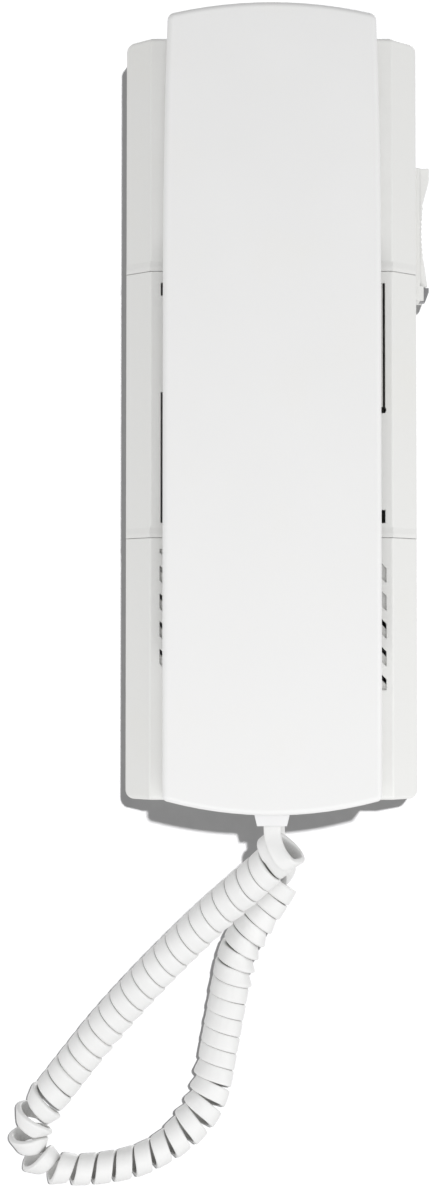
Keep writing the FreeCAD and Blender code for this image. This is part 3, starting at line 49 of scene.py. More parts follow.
scene.view_settings.view_transform = "Standard"

MM = 0.001
FRONT = Vector((0, -1, 0))
DOWN = Vector((0, 0, -1))


def at(x, depth, z):
    """A point from millimetres: across, out from the wall and up."""
    return Vector((x, -depth, z)) * MM


def link(piece):
    """Puts a new object into the scene."""
    scene.collection.objects.link(piece)
    return piece


def held(value):
    """A value held between 0 and 1."""
    return max(0, min(1, value))


# Camera, at the photograph's viewing angle

CAMERA_PLACE = (-0.0056, -0.900, -0.0665)
CAMERA_TILT = math.radians(92.95)
CAMERA_SENSOR = 36
CAMERA_LENS = 94.95
CAMERA_SHIFT = (-0.0298, -0.0878)
NEAREST_SEEN = 0.01

camera_data = bpy.data.cameras.new("view")
camera_data.sensor_width = CAMERA_SENSOR
camera_data.lens = CAMERA_LENS
camera_data.shift_x, camera_data.shift_y = CAMERA_SHIFT
camera_data.clip_start = NEAREST_SEEN
camera = link(bpy.data.objects.new("view", camera_data))
camera.location = CAMERA_PLACE
camera.rotation_euler = (CAMERA_TILT, 0, 0)
scene.camera = camera


# The curly cord: a flat tape wound left-handed along the route

# The tape's section, a rectangle with rounded corners
TAPE_WIDTH = 4.55 * MM
TAPE_THICKNESS = 1.7 * MM
TAPE_SQUARENESS = 5.0
SECTION_POINTS = 24

# The route of the coil's middle line from the handset's end to the base's, in millimetres
ROUTE = [
    (4.6, 36.0, -118.1), (-2.7, 32.0, -124.9), (-16.7, 25.0, -137.4), (-33.1, 17.5, -154.0),
    (-45.8, 12.5, -168.1), (-54.5, 9.5, -179.2), (-60.5, 8.0, -186.9), (-66.4, 6.9, -194.5),
    (-68.6, 6.2, -201.5), (-64.5, 6.0, -207.6), (-57.4, 6.0, -209.6), (-46.8, 6.0, -209.1),
    (-35.7, 6.0, -206.8), (-25.5, 6.0, -200.5), (-17.4, 6.0, -190.8), (-14.9, 6.0, -177.1),
    (-12.3, 7.0, -162.9), (-10.1, 9.0, -149.2), (-5.1, 10.5, -140.6), (0.1, 12.0, -133.2),
    (2.3, 12.8, -129.2),
]

# The direction that the turns are counted from where the route starts
FIRST_SIDE = Vector((0.7, 0, -0.7))

# How the routes are read as points
SPLINE_ORDER = 3
ROUTE_FINENESS = 64
LEAD_FINENESS = 12
LEAST_STEP = 0.02 * MM

# The coil's size, which is slimmer and a little stretched where the cord hangs low
COIL_RADIUS = 4.5 * MM
COIL_PITCH = 4.72 * MM
LOW_RADIUS = 3.6 * MM
SLIM_LEVEL = -196.0 * MM
SLIM_BLEND = 8.0 * MM
LOW_PITCH = 5.6 * MM
LOW_LEVEL = -184.0 * MM
LOW_BLEND = 8.0 * MM

# The sharp fold at the far left, where the turns part and lean
FOLD_PLACE = at(-67.0, 6.2, -201.0)
FOLD_REACH = 16.0 * MM
FOLD_PITCH = 6.2 * MM
FOLD_LEAN = math.radians(29)

# Turns along the route at which the handset's lead joins, the cord's two pieces meet and the coil ends
JOIN_TURN = 0.22
SPLIT_TURN = 24.5
COIL_TURNS = 48.25

# The tape's steps in a turn, and the part of a turn that its heading is read from
STEPS_PER_TURN = 30
HEADING_STEP = 0.01

# The first turn hangs loose
LOOSE_TURN = 0.85
LOOSE_REACH = 0.26
LOOSE_SHIFT = Vector((-0.8, 0, 2.2)) * MM

# Room added to the gap between turns, and to the tape's width, in working out how far a turn leans
GAP_ROOM = 0.05 * MM
WIDTH_ROOM = 0.2 * MM

# The leads at both ends, which reach a little way into the tab and the grommet
LEAD_HIDDEN = 1.0 * MM
TAB_EXIT = at(0, 40, -111.9)
UPPER_LEAD_WAY = [at(0.1, 40.3, -115.0), at(1.5, 41.4, -119.2), at(4.2, 41.6, -122.6)]
UPPER_LEAD_RUN_IN = 2.2 * MM
GROMMET_EXIT = at(1.5, 10, -106.7)
GROMMET_DROP = 5.0 * MM
LOWER_LEAD_WAY = [
    at(1.6, 8.0, -131.4), at(5.0, 8.2, -128.4), at(5.0, 9.6, -123.4), at(1.5, 11.0, -117.5),
]
LOWER_LEAD_RUN_OUT = 3.6 * MM


def spline_points(name, controls, fineness):
    """Points read from a smooth route whose control points are given."""
    curve = bpy.data.curves.new(name, "CURVE")
    curve.dimensions = "3D"
    curve.resolution_u = fineness
    spline = curve.splines.new("NURBS")
    spline.points.add(len(controls) - 1)
    for point, place in zip(spline.points, controls):
        point.co = (*place, 1)
    spline.order_u = SPLINE_ORDER
    spline.use_endpoint_u = True
    holder = bpy.data.objects.new(name, curve)
    mesh = bpy.data.meshes.new_from_object(holder)
    points = []
    for vertex in mesh.vertices:
        if not points or (vertex.co - points[-1]).length > LEAST_STEP:
            points.append(vertex.co.copy())
    bpy.data.meshes.remove(mesh)
    bpy.data.objects.remove(holder)
    bpy.data.curves.remove(curve)
    return points


def square_to(direction, heading):
    """The part of a direction that is square to the heading, as a unit vector."""
    return (direction - heading * direction.dot(heading)).normalized()


def near_fold(place):
    """1 at the sharp fold, falling to 0 away from it."""
    return held(2 * (1 - (place - FOLD_PLACE).length / FOLD_REACH))


def coil_track():
    """The coil's middle line: turns made so far, place, heading and side at each point."""
    line = spline_points("coil_route", [at(*point) for point in ROUTE], ROUTE_FINENESS)
    side = FIRST_SIDE
    turns = 0.0
    track = []
    for index, here in enumerate(line):
        before = line[max(index - 1, 0)]
        after = line[min(index + 1, len(line) - 1)]
        heading = (after - before).normalized()
        side = square_to(side, heading)
        low = held((LOW_LEVEL - here.z) / LOW_BLEND)
        pitch = COIL_PITCH + (LOW_PITCH - COIL_PITCH) * low
        pitch += (FOLD_PITCH - pitch) * near_fold(here)
        turns += (here - before).length / pitch
        track.append((turns, here, heading, side))
    return track


def on_track(track, turns):
    """The middle line's place, heading and side after a number of turns."""
    low, high = 0, len(track) - 1
    while high - low > 1:
        middle = (low + high) // 2
        if track[middle][0] > turns:
            high = middle
        else:
            low = middle
    share = held((turns - track[low][0]) / (track[high][0] - track[low][0]))
    place, heading, side = (track[low][k].lerp(track[high][k], share) for k in (1, 2, 3))
    return place, heading.normalized(), side.normalized()


def outward(track, turns):
    """The direction from the middle line to the tape after a number of turns."""
    _, heading, side = on_track(track, turns)
    angle = 2 * math.pi * turns
    return heading.cross(side) * math.cos(angle) + side * math.sin(angle)


def coil_place(track, turns):
    """The tape's middle after a number of turns."""
    loose = math.exp(-((turns - LOOSE_TURN) / LOOSE_REACH) ** 2)
    middle = on_track(track, turns)[0]
    slim = held((SLIM_LEVEL - middle.z) / SLIM_BLEND)
    radius = COIL_RADIUS + (LOW_RADIUS - COIL_RADIUS) * slim
    return middle + outward(track, turns) * radius + LOOSE_SHIFT * loose


def coil_face(track, turns):
    """The way that the tape's flat side faces, leaning where turns are closer than the tape is wide."""
    here = coil_place(track, turns)
    neighbours = [other for other in (turns - 1, turns + 1) if 0 <= other <= COIL_TURNS]
    gap = min((coil_place(track, other) - here).length for other in neighbours)
    lean = math.acos(max(-1, min(1, (gap + GAP_ROOM) / (TAPE_WIDTH + WIDTH_ROOM))))
    lean = max(lean, FOLD_LEAN * near_fold(on_track(track, turns)[0]))
    ahead = coil_place(track, turns + HEADING_STEP)
    behind = coil_place(track, turns - HEADING_STEP)
    heading = (ahead - behind).normalized()
    return Matrix.Rotation(lean, 3, heading) @ square_to(outward(track, turns), heading)


def lead_points(name, controls, normal_start, normal_end):
    """Points and face directions of a lead, turning from one face direction to the other."""
    points = spline_points(name, controls, LEAD_FINENESS)
    last = len(points) - 1
    faces = []
    for index in range(len(points)):
        share = index / last
        share = share * share * (3 - 2 * share)
        faces.append(normal_start.lerp(normal_end, share).normalized())
    return points, faces


def rounded(wave, size):
    """A coordinate of the tape's rounded section, from a sine or cosine and the full size."""
    return math.copysign(abs(wave) ** (2 / TAPE_SQUARENESS), wave) * size / 2


def tape(name, places, faces):
    """A closed tape with rounded edges that follows places, its flat side facing along faces."""
    mesh = bpy.data.meshes.new(name)
    build = bmesh.new()
    rings = []
    last = len(places) - 1
    for index, place in enumerate(places):
        heading = (places[min(index + 1, last)] - places[max(index - 1, 0)]).normalized()
        face = square_to(faces[index], heading)
        across = heading.cross(face)
        ring = []
        for step in range(SECTION_POINTS):
            angle = 2 * math.pi * (step + 0.5) / SECTION_POINTS
            x = rounded(math.cos(angle), TAPE_WIDTH)
            y = rounded(math.sin(angle), TAPE_THICKNESS)
            ring.append(build.verts.new(place + across * x + face * y))
        rings.append(ring)
    for first, second in zip(rings, rings[1:]):
        for step in range(SECTION_POINTS):
            after = (step + 1) % SECTION_POINTS
            build.faces.new((first[step], first[after], second[after], second[step]))
    build.faces.new(rings[0][::-1])
    build.faces.new(rings[-1])
    bmesh.ops.recalc_face_normals(build, faces=build.faces)
    for face in build.faces:
        face.smooth = True
    build.to_mesh(mesh)
    build.free()
    return link(bpy.data.objects.new(name, mesh))


track = coil_track()
steps = round((COIL_TURNS - JOIN_TURN) * STEPS_PER_TURN)
stations = [JOIN_TURN + (COIL_TURNS - JOIN_TURN) * step / steps for step in range(steps + 1)]
coil_places = [coil_place(track, turns) for turns in stations]
coil_faces = [coil_face(track, turns) for turns in stations]

start = coil_places[0]
start_heading = (coil_places[1] - start).normalized()
upper_lead, upper_faces = lead_points("upper_lead", [
    TAB_EXIT - DOWN * LEAD_HIDDEN, TAB_EXIT, *UPPER_LEAD_WAY,
    start - start_heading * UPPER_LEAD_RUN_IN, start,
], FRONT, coil_faces[0])
end = coil_places[-1]
end_heading = (end - coil_places[-2]).normalized()
lower_lead, lower_faces = lead_points("lower_lead", [
    end, end + end_heading * LOWER_LEAD_RUN_OUT, *LOWER_LEAD_WAY,
    GROMMET_EXIT + DOWN * GROMMET_DROP, GROMMET_EXIT, GROMMET_EXIT - DOWN * LEAD_HIDDEN,
], coil_faces[-1], -FRONT)

split = round((SPLIT_TURN - JOIN_TURN) * STEPS_PER_TURN)
upper_places = upper_lead[:-1] + coil_places[:split + 1]
upper_tape = tape("curly_cord_upper", upper_places, upper_faces[:-1] + coil_faces[:split + 1])
lower_places = coil_places[split:] + lower_lead[1:]
lower_tape = tape("curly_cord_lower", lower_places, coil_faces[split:] + lower_faces[1:])

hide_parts("curly_cord")
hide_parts("curly_cord")


# Stage: one wide wall close behind the phone

WALL_PLACE = 0.8 * MM
STAGE_REACH = 4.0


def backdrop():
    """A flat square of wall whose face looks to the front."""
    mesh = bpy.data.meshes.new("backdrop")
    build = bmesh.new()
    corners = [
        (x * STAGE_REACH, WALL_PLACE, z * STAGE_REACH) for x, z in ((-1, -1), (1, -1), (1, 1), (-1, 1))
    ]
    build.faces.new([build.verts.new(corner_dust_and_shade) for corner_dust_and_shade in corners])
    build.to_mesh(mesh)
    build.free()
    sheet = link(bpy.data.objects.new("backdrop", mesh))
    sheet.visible_shadow = False
    sheet.visible_diffuse = False
    sheet.visible_glossy = False
    sheet.visible_transmission = False
    return sheet


# Lamps: soft light from the front, both sides, below and behind, and one lamp for the wall alone

SIDE_AIM = (0.0, -0.03, 0.0)
LOW_AIM = (0.0, 0.0, -0.03)


def sun(name, towards, strength, softness):
    """A far lamp that shines from the given direction."""
    data = bpy.data.lights.new(name, "SUN")
    data.energy = strength
    data.angle = math.radians(softness)
    lamp = link(bpy.data.objects.new(name, data))
    lamp.rotation_euler = Vector(towards).to_track_quat("Z", "Y").to_euler()
    return lamp


def softbox(name, place, aim, size, power):
    """A rectangular lamp near the object, aimed at a point."""
    data = bpy.data.lights.new(name, "AREA")
    data.shape = "RECTANGLE"
    data.size, data.size_y = size
    data.energy = power
    lamp = link(bpy.data.objects.new(name, data))
    lamp.location = place
    lamp.rotation_euler = (Vector(place) - Vector(aim)).to_track_quat("Z", "Y").to_euler()
    lamp.visible_camera = False
    return lamp


key_light = sun("key", towards=(0.04, -1.0, 0.16), strength=0.20, softness=9)
rear_light = sun("rear", towards=(0.4, 1.0, 0.7), strength=1.1, softness=25)
wall_light = sun("wall_light", towards=(0.115, -1.0, 0.16), strength=6.6, softness=1.5)
right_box = softbox("right_box", (0.56, -0.34, -0.25), aim=SIDE_AIM, size=(0.7, 0.7), power=2.42)
left_box = softbox("left_box", (-0.56, -0.34, -0.25), aim=SIDE_AIM, size=(0.7, 0.7), power=1.52)
low_box = softbox("low_box", (0.0, -0.62, -0.46), aim=LOW_AIM, size=(0.6, 0.5), power=1.48)


# Materials

PLASTIC_IOR = 1.46
SHEATH_IOR = 1.48

# How far the shaders round off the look of edges, and the rays that they use for that and for corners
EDGE_ROUNDING = 0.3 * MM
FINE_EDGE_ROUNDING = 0.2 * MM
ROUNDING_SAMPLES = 4
CREVICE_SAMPLES = 6


class Tree:
    """A material's node tree with short calls for the nodes used here."""

    def __init__(self, name):
        self.material = bpy.data.materials.new(name)
        self.material.use_nodes = True
        self.nodes = self.material.node_tree.nodes
        self.links = self.material.node_tree.links
        self.nodes.clear()
        self.output = self.nodes.new("ShaderNodeOutputMaterial")
        self.object_place = self.nodes.new("ShaderNodeTexCoord").outputs["Object"]

    def join(self, value, socket):
        """Links a socket's value, or writes a constant into the socket."""
        if isinstance(value, bpy.types.NodeSocket):
            self.links.new(value, socket)
        else:
            socket.default_value = value

    def place(self, scale):
        """Object coordinates, stretched."""
        node = self.nodes.new("ShaderNodeMapping")
        node.inputs["Scale"].default_value = scale
        self.links.new(self.object_place, node.inputs["Vector"])
        return node.outputs["Vector"]

    def noise(self, scale, detail, roughness, where=None):
        """Smooth noise from 0 to 1. Its scale is about the number of patches in a metre."""
        node = self.nodes.new("ShaderNodeTexNoise")
        node.inputs["Scale"].default_value = scale
        node.inputs["Detail"].default_value = detail
        node.inputs["Roughness"].default_value = roughness
        self.links.new(where or self.object_place, node.inputs["Vector"])
        return node.outputs["Fac"]

    def cells(self, scale, where=None, feature="F1"):
        """Distance to the nearest of many scattered points, or to the line between two of them."""
        node = self.nodes.new("ShaderNodeTexVoronoi")
        node.feature = feature
        node.inputs["Scale"].default_value = scale
        self.links.new(where or self.object_place, node.inputs["Vector"])
        return node.outputs["Distance"]

    def bands(self, scale, distortion, direction):
        """Regular bands from 0 to 1 along one axis."""
        node = self.nodes.new("ShaderNodeTexWave")
        node.wave_type = "BANDS"
        node.bands_direction = direction
        node.inputs["Scale"].default_value = scale
        node.inputs["Distortion"].default_value = distortion
        self.links.new(self.object_place, node.inputs["Vector"])
        return node.outputs["Fac"]

    def spread(self, value, source, target=(0.0, 1.0)):
        """Maps one range of values to another, clamped."""
        node = self.nodes.new("ShaderNodeMapRange")
        self.links.new(value, node.inputs["Value"])
        node.inputs["From Min"].default_value, node.inputs["From Max"].default_value = source
        node.inputs["To Min"].default_value, node.inputs["To Max"].default_value = target
        return node.outputs["Result"]

    def math(self, kind, a, b):
        """Arithmetic on two values."""
        node = self.nodes.new("ShaderNodeMath")
        node.operation = kind
        self.join(a, node.inputs[0])
        self.join(b, node.inputs[1])
        return node.outputs[0]

    def mix(self, share, a, b):
        """One colour over another."""
        node = self.nodes.new("ShaderNodeMix")
        node.data_type = "RGBA"
        node.blend_type = "MIX"
        self.join(share, node.inputs["Factor"])
        self.join(a, node.inputs["A"])
        self.join(b, node.inputs["B"])
        return node.outputs["Result"]

    def crevice(self, reach):
        """1 in the open and less in corners."""
        node = self.nodes.new("ShaderNodeAmbientOcclusion")
        node.samples = CREVICE_SAMPLES
        node.inputs["Distance"].default_value = reach
        return node.outputs["AO"]

    def bump(self, relief, height, strength, below=None):
        """Relief of a given height in metres, over the surface or over another relief."""
        node = self.nodes.new("ShaderNodeBump")
        node.inputs["Distance"].default_value = height
        node.inputs["Strength"].default_value = strength
        self.links.new(relief, node.inputs["Height"])
        if below is not None:
            self.links.new(below, node.inputs["Normal"])
        return node.outputs["Normal"]

    def softened(self, radius):
        """The surface direction with its edges rounded off."""
        node = self.nodes.new("ShaderNodeBevel")
        node.samples = ROUNDING_SAMPLES
        node.inputs["Radius"].default_value = radius
        return node.outputs["Normal"]

    def layer(self, share, under, over):
        """One shader over another."""
        node = self.nodes.new("ShaderNodeMixShader")
        self.join(share, node.inputs["Fac"])
        self.links.new(under, node.inputs[1])
        self.links.new(over, node.inputs[2])
        return node.outputs[0]

    def surface(self, colour, roughness, normal, **constants):
        """Ends the tree with one shader."""
        shader = self.nodes.new("ShaderNodeBsdfPrincipled")
        self.join(colour, shader.inputs["Base Color"])
        self.join(roughness, shader.inputs["Roughness"])
        self.links.new(normal, shader.inputs["Normal"])
        for name, value in constants.items():
            shader.inputs[name].default_value = value
        self.links.new(shader.outputs["BSDF"], self.output.inputs["Surface"])
        return self.material


def tinted(colour, factors):
    """A colour with each of its three parts made lighter or darker."""
    return (*(part * factor for part, factor in zip(colour, factors)), 1)


def shade(colour, factor):
    """A colour made lighter or darker."""
    return tinted(colour, (factor, factor, factor))


def moulded(name, colour, gloss=0.40, grain=0.35):
    """Moulded plastic: faint flow marks, fine spark grain, handled patches, and dusty corners with
    painted shade.
    """
    tree = Tree(name)
    flow = tree.noise(scale=9, detail=3, roughness=0.55, where=tree.place((1, 1, 0.35)))
    base = tree.mix(tree.spread(flow, (0.3, 0.7)), shade(colour, 0.985), shade(colour, 1.0))
    specks = tree.spread(tree.noise(scale=700, detail=2, roughness=0.6), (0.62, 0.78), (0.0, 0.12))
    base = tree.mix(specks, base, shade(colour, 0.90))
    handled = tree.spread(tree.noise(scale=38, detail=4, roughness=0.6), (0.52, 0.75), (0.0, 0.25))
    base = tree.mix(handled, base, tinted(colour, (0.99, 0.975, 0.93)))
    # Corners and crevices darkened where occlusion finds them: painted shade, with a dusty tint
    corner_dust_and_shade = tree.spread(tree.crevice(reach=2.5 * MM), (0.35, 0.95), (0.04, 0.0))
    base = tree.mix(corner_dust_and_shade, base, tinted(colour, (0.45, 0.43, 0.39)))
    fine = tree.noise(scale=2600, detail=2, roughness=0.6)
    wide = tree.noise(scale=600, detail=2, roughness=0.5)
    relief = tree.math("ADD", fine, tree.math("MULTIPLY", wide, 0.7))
    edges = tree.softened(EDGE_ROUNDING)
    normal = tree.bump(relief, height=0.04 * MM, strength=grain, below=edges)
    patches = tree.noise(scale=55, detail=3, roughness=0.6)
    patches = tree.spread(patches, (0.35, 0.7), (gloss - 0.05, gloss + 0.06))
    rough = tree.math("ADD", patches, tree.spread(fine, (0.3, 0.7), (-0.02, 0.03)))
    return tree.surface(base, rough, normal, IOR=PLASTIC_IOR)


def sheath(name, colour, gloss=0.42):
    """Soft flexible sheath with a faint drawn skin; painted shade darkens the inside of a coil and its
    creases.
    """
    tree = Tree(name)
    tone = tree.spread(tree.noise(scale=60, detail=3, roughness=0.6), (0.35, 0.7))
    base = tree.mix(tone, shade(colour, 0.965), shade(colour, 1.0))
    # Creases between turns darkened where occlusion finds them: painted shade, with a little grime
    grime_and_crease_shade = tree.spread(tree.crevice(reach=1.2 * MM), (0.15, 0.85), (0.06, 0.0))
    base = tree.mix(grime_and_crease_shade, base, shade(tinted(colour, (1.0, 0.98, 0.95)), 0.55))
    # The inside of the coil darkened where occlusion reaches far: painted shade
    painted_coil_shade = tree.spread(tree.crevice(reach=9 * MM), (0.10, 0.40), (0.8, 0.0))
    base = tree.mix(painted_coil_shade, base, shade(tinted(colour, (1.0, 0.98, 0.90)), 0.35))
    skin = tree.noise(scale=1400, detail=3, roughness=0.65)
    normal = tree.bump(skin, height=0.03 * MM, strength=0.25)
    patches = tree.noise(scale=240, detail=3, roughness=0.6)
    rough = tree.spread(patches, (0.3, 0.7), (gloss - 0.05, gloss + 0.08))
    return tree.surface(base, rough, normal, IOR=SHEATH_IOR)


def metal(name, colour, gloss, stretch=(1, 1, 1), stain=(0.32, 0.27, 0.20)):
    """Bare or plated metal with fine drawn lines and slight staining."""
    tree = Tree(name)
    lines = tree.noise(scale=900, detail=4, roughness=0.7, where=tree.place(stretch))
    blotches = tree.spread(tree.noise(scale=70, detail=4, roughness=0.65), (0.5, 0.8), (0.0, 0.25))
    base = tree.mix(tree.spread(lines, (0.3, 0.7)), shade(colour, 0.88), shade(colour, 1.0))
    base = tree.mix(blotches, base, (*stain, 1))
    drawn = tree.spread(lines, (0.25, 0.75), (gloss - 0.06, gloss + 0.10))
    rough = tree.math("ADD", drawn, tree.math("MULTIPLY", blotches, 0.5))
    edges = tree.softened(FINE_EDGE_ROUNDING)
    normal = tree.bump(lines, height=0.02 * MM, strength=0.3, below=edges)
    return tree.surface(base, rough, normal, Metallic=1.0)


def plain_plastic(name, colour, gloss=0.38):
    """Plain coloured plastic for small parts inside, with moulding grain and dusty corners with painted
    shade.
    """
    tree = Tree(name)
    tone = tree.spread(tree.noise(scale=120, detail=3, roughness=0.6), (0.3, 0.7))
    base = tree.mix(tone, shade(colour, 0.86), shade(colour, 1.06))
    # Corners darkened where occlusion finds them: painted shade, with a dusty tint
    dusty_corner_shade = tree.spread(tree.crevice(reach=2 * MM), (0.4, 1.0), (0.22, 0.0))
    base = tree.mix(dusty_corner_shade, base, (0.30, 0.28, 0.25, 1))
    grain = tree.noise(scale=1900, detail=2, roughness=0.6)
    edges = tree.softened(FINE_EDGE_ROUNDING)
    normal = tree.bump(grain, height=0.03 * MM, strength=0.3, below=edges)
    rough = tree.spread(grain, (0.3, 0.7), (gloss - 0.06, gloss + 0.08))
    return tree.surface(base, rough, normal)


def laminate(name):
    """Brown bonded board with a paper weave and dull solder-side tracks."""
    tree = Tree(name)
    across = tree.bands(scale=330, distortion=0.4, direction="X")
    along = tree.bands(scale=330, distortion=0.4, direction="Z")
    weave = tree.math("MULTIPLY", across, along)
    base = tree.mix(tree.spread(weave, (0.1, 0.9)), (0.085, 0.050, 0.022, 1), (0.13, 0.080, 0.036, 1))
    tracks = tree.cells(scale=120, where=tree.place((1, 0.01, 1)), feature="DISTANCE_TO_EDGE")
    tracks = tree.spread(tracks, (0.06, 0.10))
    base = tree.mix(tracks, (0.050, 0.065, 0.030, 1), base)
    normal = tree.bump(weave, height=0.03 * MM, strength=0.35)
    normal = tree.bump(tracks, height=0.04 * MM, strength=0.5, below=normal)
    return tree.surface(base, tree.spread(weave, (0.0, 1.0), (0.36, 0.52)), normal)


def paper_cone(name):
    """Grey felted paper."""
    tree = Tree(name)
    fibres = tree.noise(scale=850, detail=5, roughness=0.75, where=tree.place((1, 1, 0.5)))
    base = tree.mix(tree.spread(fibres, (0.3, 0.7)), (0.050, 0.047, 0.043, 1), (0.11, 0.105, 0.095, 1))
    normal = tree.bump(fibres, height=0.10 * MM, strength=0.6)
    return tree.surface(base, tree.spread(fibres, (0.2, 0.8), (0.75, 0.95)), normal)


def open_foam(name):
    """Dark open-cell foam."""
    tree = Tree(name)
    pores = tree.cells(scale=1500)
    base = tree.mix(tree.spread(pores, (0.1, 0.6)), (0.020, 0.020, 0.021, 1), (0.075, 0.074, 0.072, 1))
    normal = tree.bump(pores, height=0.25 * MM, strength=0.9)
    return tree.surface(base, tree.spread(pores, (0.0, 0.7), (0.98, 0.85)), normal)


def rubber(name, colour):
    """Matt rubber with a dusty bloom."""
    tree = Tree(name)
    bloom = tree.spread(tree.noise(scale=90, detail=4, roughness=0.7), (0.45, 0.75), (0.0, 0.35))
    base = tree.mix(bloom, shade(colour, 1.0), shade(colour, 2.2))
    skin = tree.noise(scale=1300, detail=3, roughness=0.7)
    normal = tree.bump(skin, height=0.04 * MM, strength=0.4)
    rough = tree.spread(tree.noise(scale=300, detail=2, roughness=0.6), (0.3, 0.7), (0.62, 0.80))
    return tree.surface(base, rough, normal)


def sleeved_can(name):
    """A capacitor's shrunk sleeve with pale stripes."""
    tree = Tree(name)
    stripe = tree.spread(tree.bands(scale=28, distortion=0.0, direction="X"), (0.80, 0.84))
    base = tree.mix(stripe, (0.015, 0.030, 0.085, 1), (0.42, 0.44, 0.47, 1))
    dulled = tree.spread(tree.noise(scale=160, detail=3, roughness=0.6), (0.5, 0.8), (0.0, 0.3))
    base = tree.mix(dulled, base, (0.05, 0.06, 0.09, 1))
    skin = tree.noise(scale=700, detail=2, roughness=0.5)
    normal = tree.bump(skin, height=0.03 * MM, strength=0.3)
    rough = tree.spread(tree.noise(scale=250, detail=2, roughness=0.5), (0.3, 0.7), (0.22, 0.34))
    return tree.surface(base, rough, normal)


def ferrite(name):
    """Pressed and ground magnet: dark, fine grained, with grinding lines."""
    tree = Tree(name)
    grains = tree.noise(scale=1500, detail=4, roughness=0.8)
    base = tree.mix(tree.spread(grains, (0.35, 0.7)), (0.030, 0.031, 0.033, 1), (0.070, 0.071, 0.075, 1))
    lines = tree.noise(scale=500, detail=3, roughness=0.7, where=tree.place((0.08, 1, 1)))
    edges = tree.softened(EDGE_ROUNDING)
    normal = tree.bump(lines, height=0.03 * MM, strength=0.4, below=edges)
    rough = tree.spread(grains, (0.3, 0.7), (0.42, 0.60))
    return tree.surface(base, rough, normal, Metallic=0.35)


# The wall's paint is a mid grey that its own lamp brings to white, with a faint even glow

WALL_DARKER = (0.41, 0.41, 0.415, 1)
WALL_LIGHTER = (0.43, 0.43, 0.435, 1)
WALL_GLOW = 1.0
PAINT_SHARE = 0.98


def wall_paint(name):
    """Grey wall paint over a glow that barely shows, unseen from behind."""
    tree = Tree(name)
    texture = tree.spread(tree.noise(scale=260, detail=3, roughness=0.6), (0.3, 0.7))
    paint = tree.nodes.new("ShaderNodeBsdfDiffuse")
    tree.links.new(tree.mix(texture, WALL_DARKER, WALL_LIGHTER), paint.inputs["Color"])
    glow = tree.nodes.new("ShaderNodeEmission")
    glow.inputs["Color"].default_value = (1, 1, 1, 1)
    glow.inputs["Strength"].default_value = WALL_GLOW
    front = tree.layer(PAINT_SHARE, glow.outputs[0], paint.outputs[0])
    clear = tree.nodes.new("ShaderNodeBsdfTransparent")
    behind = tree.nodes.new("ShaderNodeNewGeometry").outputs["Backfacing"]
    both = tree.layer(behind, front, clear.outputs[0])
    tree.links.new(both, tree.output.inputs["Surface"])
    return tree.material


WHITE = (0.80, 0.80, 0.785)
BASE_WHITE = shade(WHITE, 0.985)[:3]
MATERIALS = {
    "base_plastic": moulded("base_plastic", BASE_WHITE),
    "cover_plastic": moulded("cover_plastic", BASE_WHITE),
    "handset_plastic": moulded("handset_plastic", (0.80, 0.80, 0.797), gloss=0.46, grain=0.28),
    "key_plastic": moulded("key_plastic", WHITE, gloss=0.34, grain=0.25),
    "bezel_plastic": moulded("bezel_plastic", WHITE, gloss=0.42, grain=0.3),
    "stop_plastic": moulded("stop_plastic", (0.24, 0.24, 0.25), gloss=0.45, grain=0.3),
    "relief_plastic": moulded("relief_plastic", (0.735, 0.735, 0.74), gloss=0.38, grain=0.25),
    "cord_sheath": sheath("cord_sheath", (0.785, 0.785, 0.78)),
    "lead_sheath": sheath("lead_sheath", (0.46, 0.45, 0.43)),
    "zinc_steel": metal("zinc_steel", (0.62, 0.61, 0.58), gloss=0.34),
    "spring_steel": metal("spring_steel", (0.50, 0.49, 0.47), gloss=0.30),
    "core_steel": metal("core_steel", (0.36, 0.35, 0.34), gloss=0.45, stretch=(1, 14, 1)),
    "frame_steel": metal("frame_steel", (0.56, 0.55, 0.53), gloss=0.40, stretch=(0.3, 1, 1)),
    "capsule_steel": metal("capsule_steel", (0.66, 0.65, 0.63), gloss=0.36),
    "ballast_steel": metal("ballast_steel", (0.40, 0.39, 0.38), gloss=0.50, stretch=(8, 1, 1)),
    "terminal_brass": metal("terminal_brass", (0.72, 0.52, 0.24), gloss=0.34, stain=(0.22, 0.14, 0.06)),
    "board_laminate": laminate("board_laminate"),
    "terminal_plastic": plain_plastic("terminal_plastic", (0.075, 0.078, 0.080)),
    "capacitor_sleeve": sleeved_can("capacitor_sleeve"),
    "cone_paper": paper_cone("cone_paper"),
    "magnet_ferrite": ferrite("magnet_ferrite"),
    "foam": open_foam("foam"),
    "plunger_plastic": plain_plastic("plunger_plastic", (0.66, 0.65, 0.61)),
    "switch_plastic": plain_plastic("switch_plastic", (0.045, 0.046, 0.048)),
    "button_plastic": plain_plastic("button_plastic", (0.42, 0.060, 0.045)),
    "capsule_plastic": plain_plastic("capsule_plastic", (0.050, 0.050, 0.052)),
    "sleeve_rubber": rubber("sleeve_rubber", (0.035, 0.035, 0.036)),
}
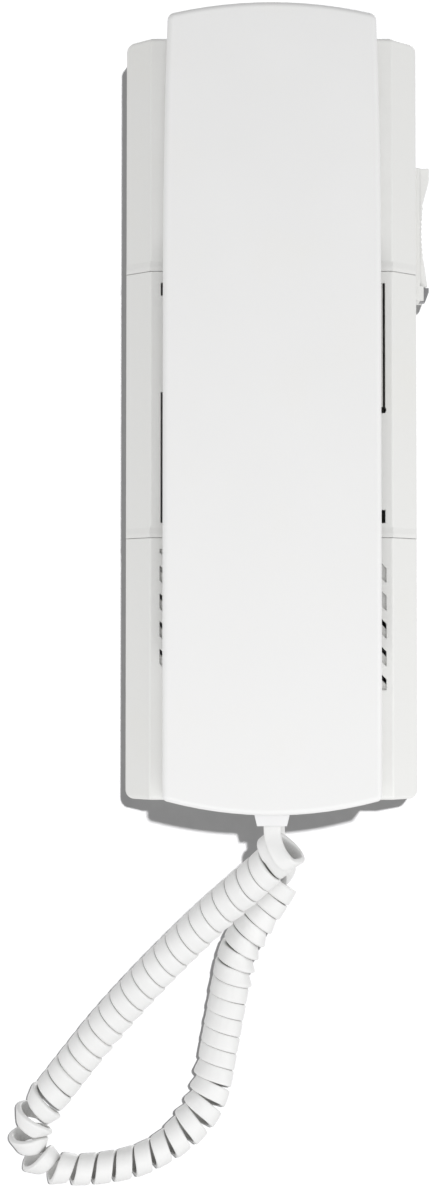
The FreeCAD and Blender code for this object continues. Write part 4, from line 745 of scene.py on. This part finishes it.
for node in nodes.values():
    for holder in node.material_slots:
        holder.material = MATERIALS[holder.material.name.split(".")[0]]
for piece in (upper_tape, lower_tape):
    piece.data.materials.append(MATERIALS["cord_sheath"])


# The wall stands in its own lamp's light, and out of the light of the others

stage_sheet = backdrop()
stage_sheet.data.materials.append(wall_paint("wall_paint"))
lit_wall = bpy.data.collections.new("lit_wall")
lit_wall.objects.link(stage_sheet)
wall_light.light_linking.receiver_collection = lit_wall
unlit_wall = bpy.data.collections.new("unlit_wall")
unlit_wall.objects.link(stage_sheet)
unlit_wall.collection_objects[0].light_linking.link_state = "EXCLUDE"
for lamp in (key_light, rear_light, right_box, left_box, low_box):
    lamp.light_linking.receiver_collection = unlit_wall


# World: even light all round, and plain white where the camera sees it, in metal or through glass too

AMBIENT = 0.495
SEEN_WHITE = 1.0

world = bpy.data.worlds.new("studio")
scene.world = world
world.use_nodes = True
world_nodes = world.node_tree.nodes
world_links = world.node_tree.links
world_nodes.clear()


def white_background(strength):
    """A white background shader of a given strength."""
    background = world_nodes.new("ShaderNodeBackground")
    background.inputs["Color"].default_value = (1, 1, 1, 1)
    background.inputs["Strength"].default_value = strength
    return background.outputs[0]


def larger(a, b):
    """The larger of two values."""
    node = world_nodes.new("ShaderNodeMath")
    node.operation = "MAXIMUM"
    world_links.new(a, node.inputs[0])
    world_links.new(b, node.inputs[1])
    return node.outputs[0]


ray = world_nodes.new("ShaderNodeLightPath").outputs
seen = larger(larger(ray["Is Camera Ray"], ray["Is Glossy Ray"]), ray["Is Transmission Ray"])
chosen = world_nodes.new("ShaderNodeMixShader")
world_links.new(seen, chosen.inputs["Fac"])
world_links.new(white_background(AMBIENT), chosen.inputs[1])
world_links.new(white_background(SEEN_WHITE), chosen.inputs[2])
world_output = world_nodes.new("ShaderNodeOutputWorld")
world_links.new(chosen.outputs[0], world_output.inputs["Surface"])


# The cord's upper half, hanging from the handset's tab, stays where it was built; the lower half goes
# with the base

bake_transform(upper_tape)
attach(lower_tape, "base")

bpy.context.view_layer.update()
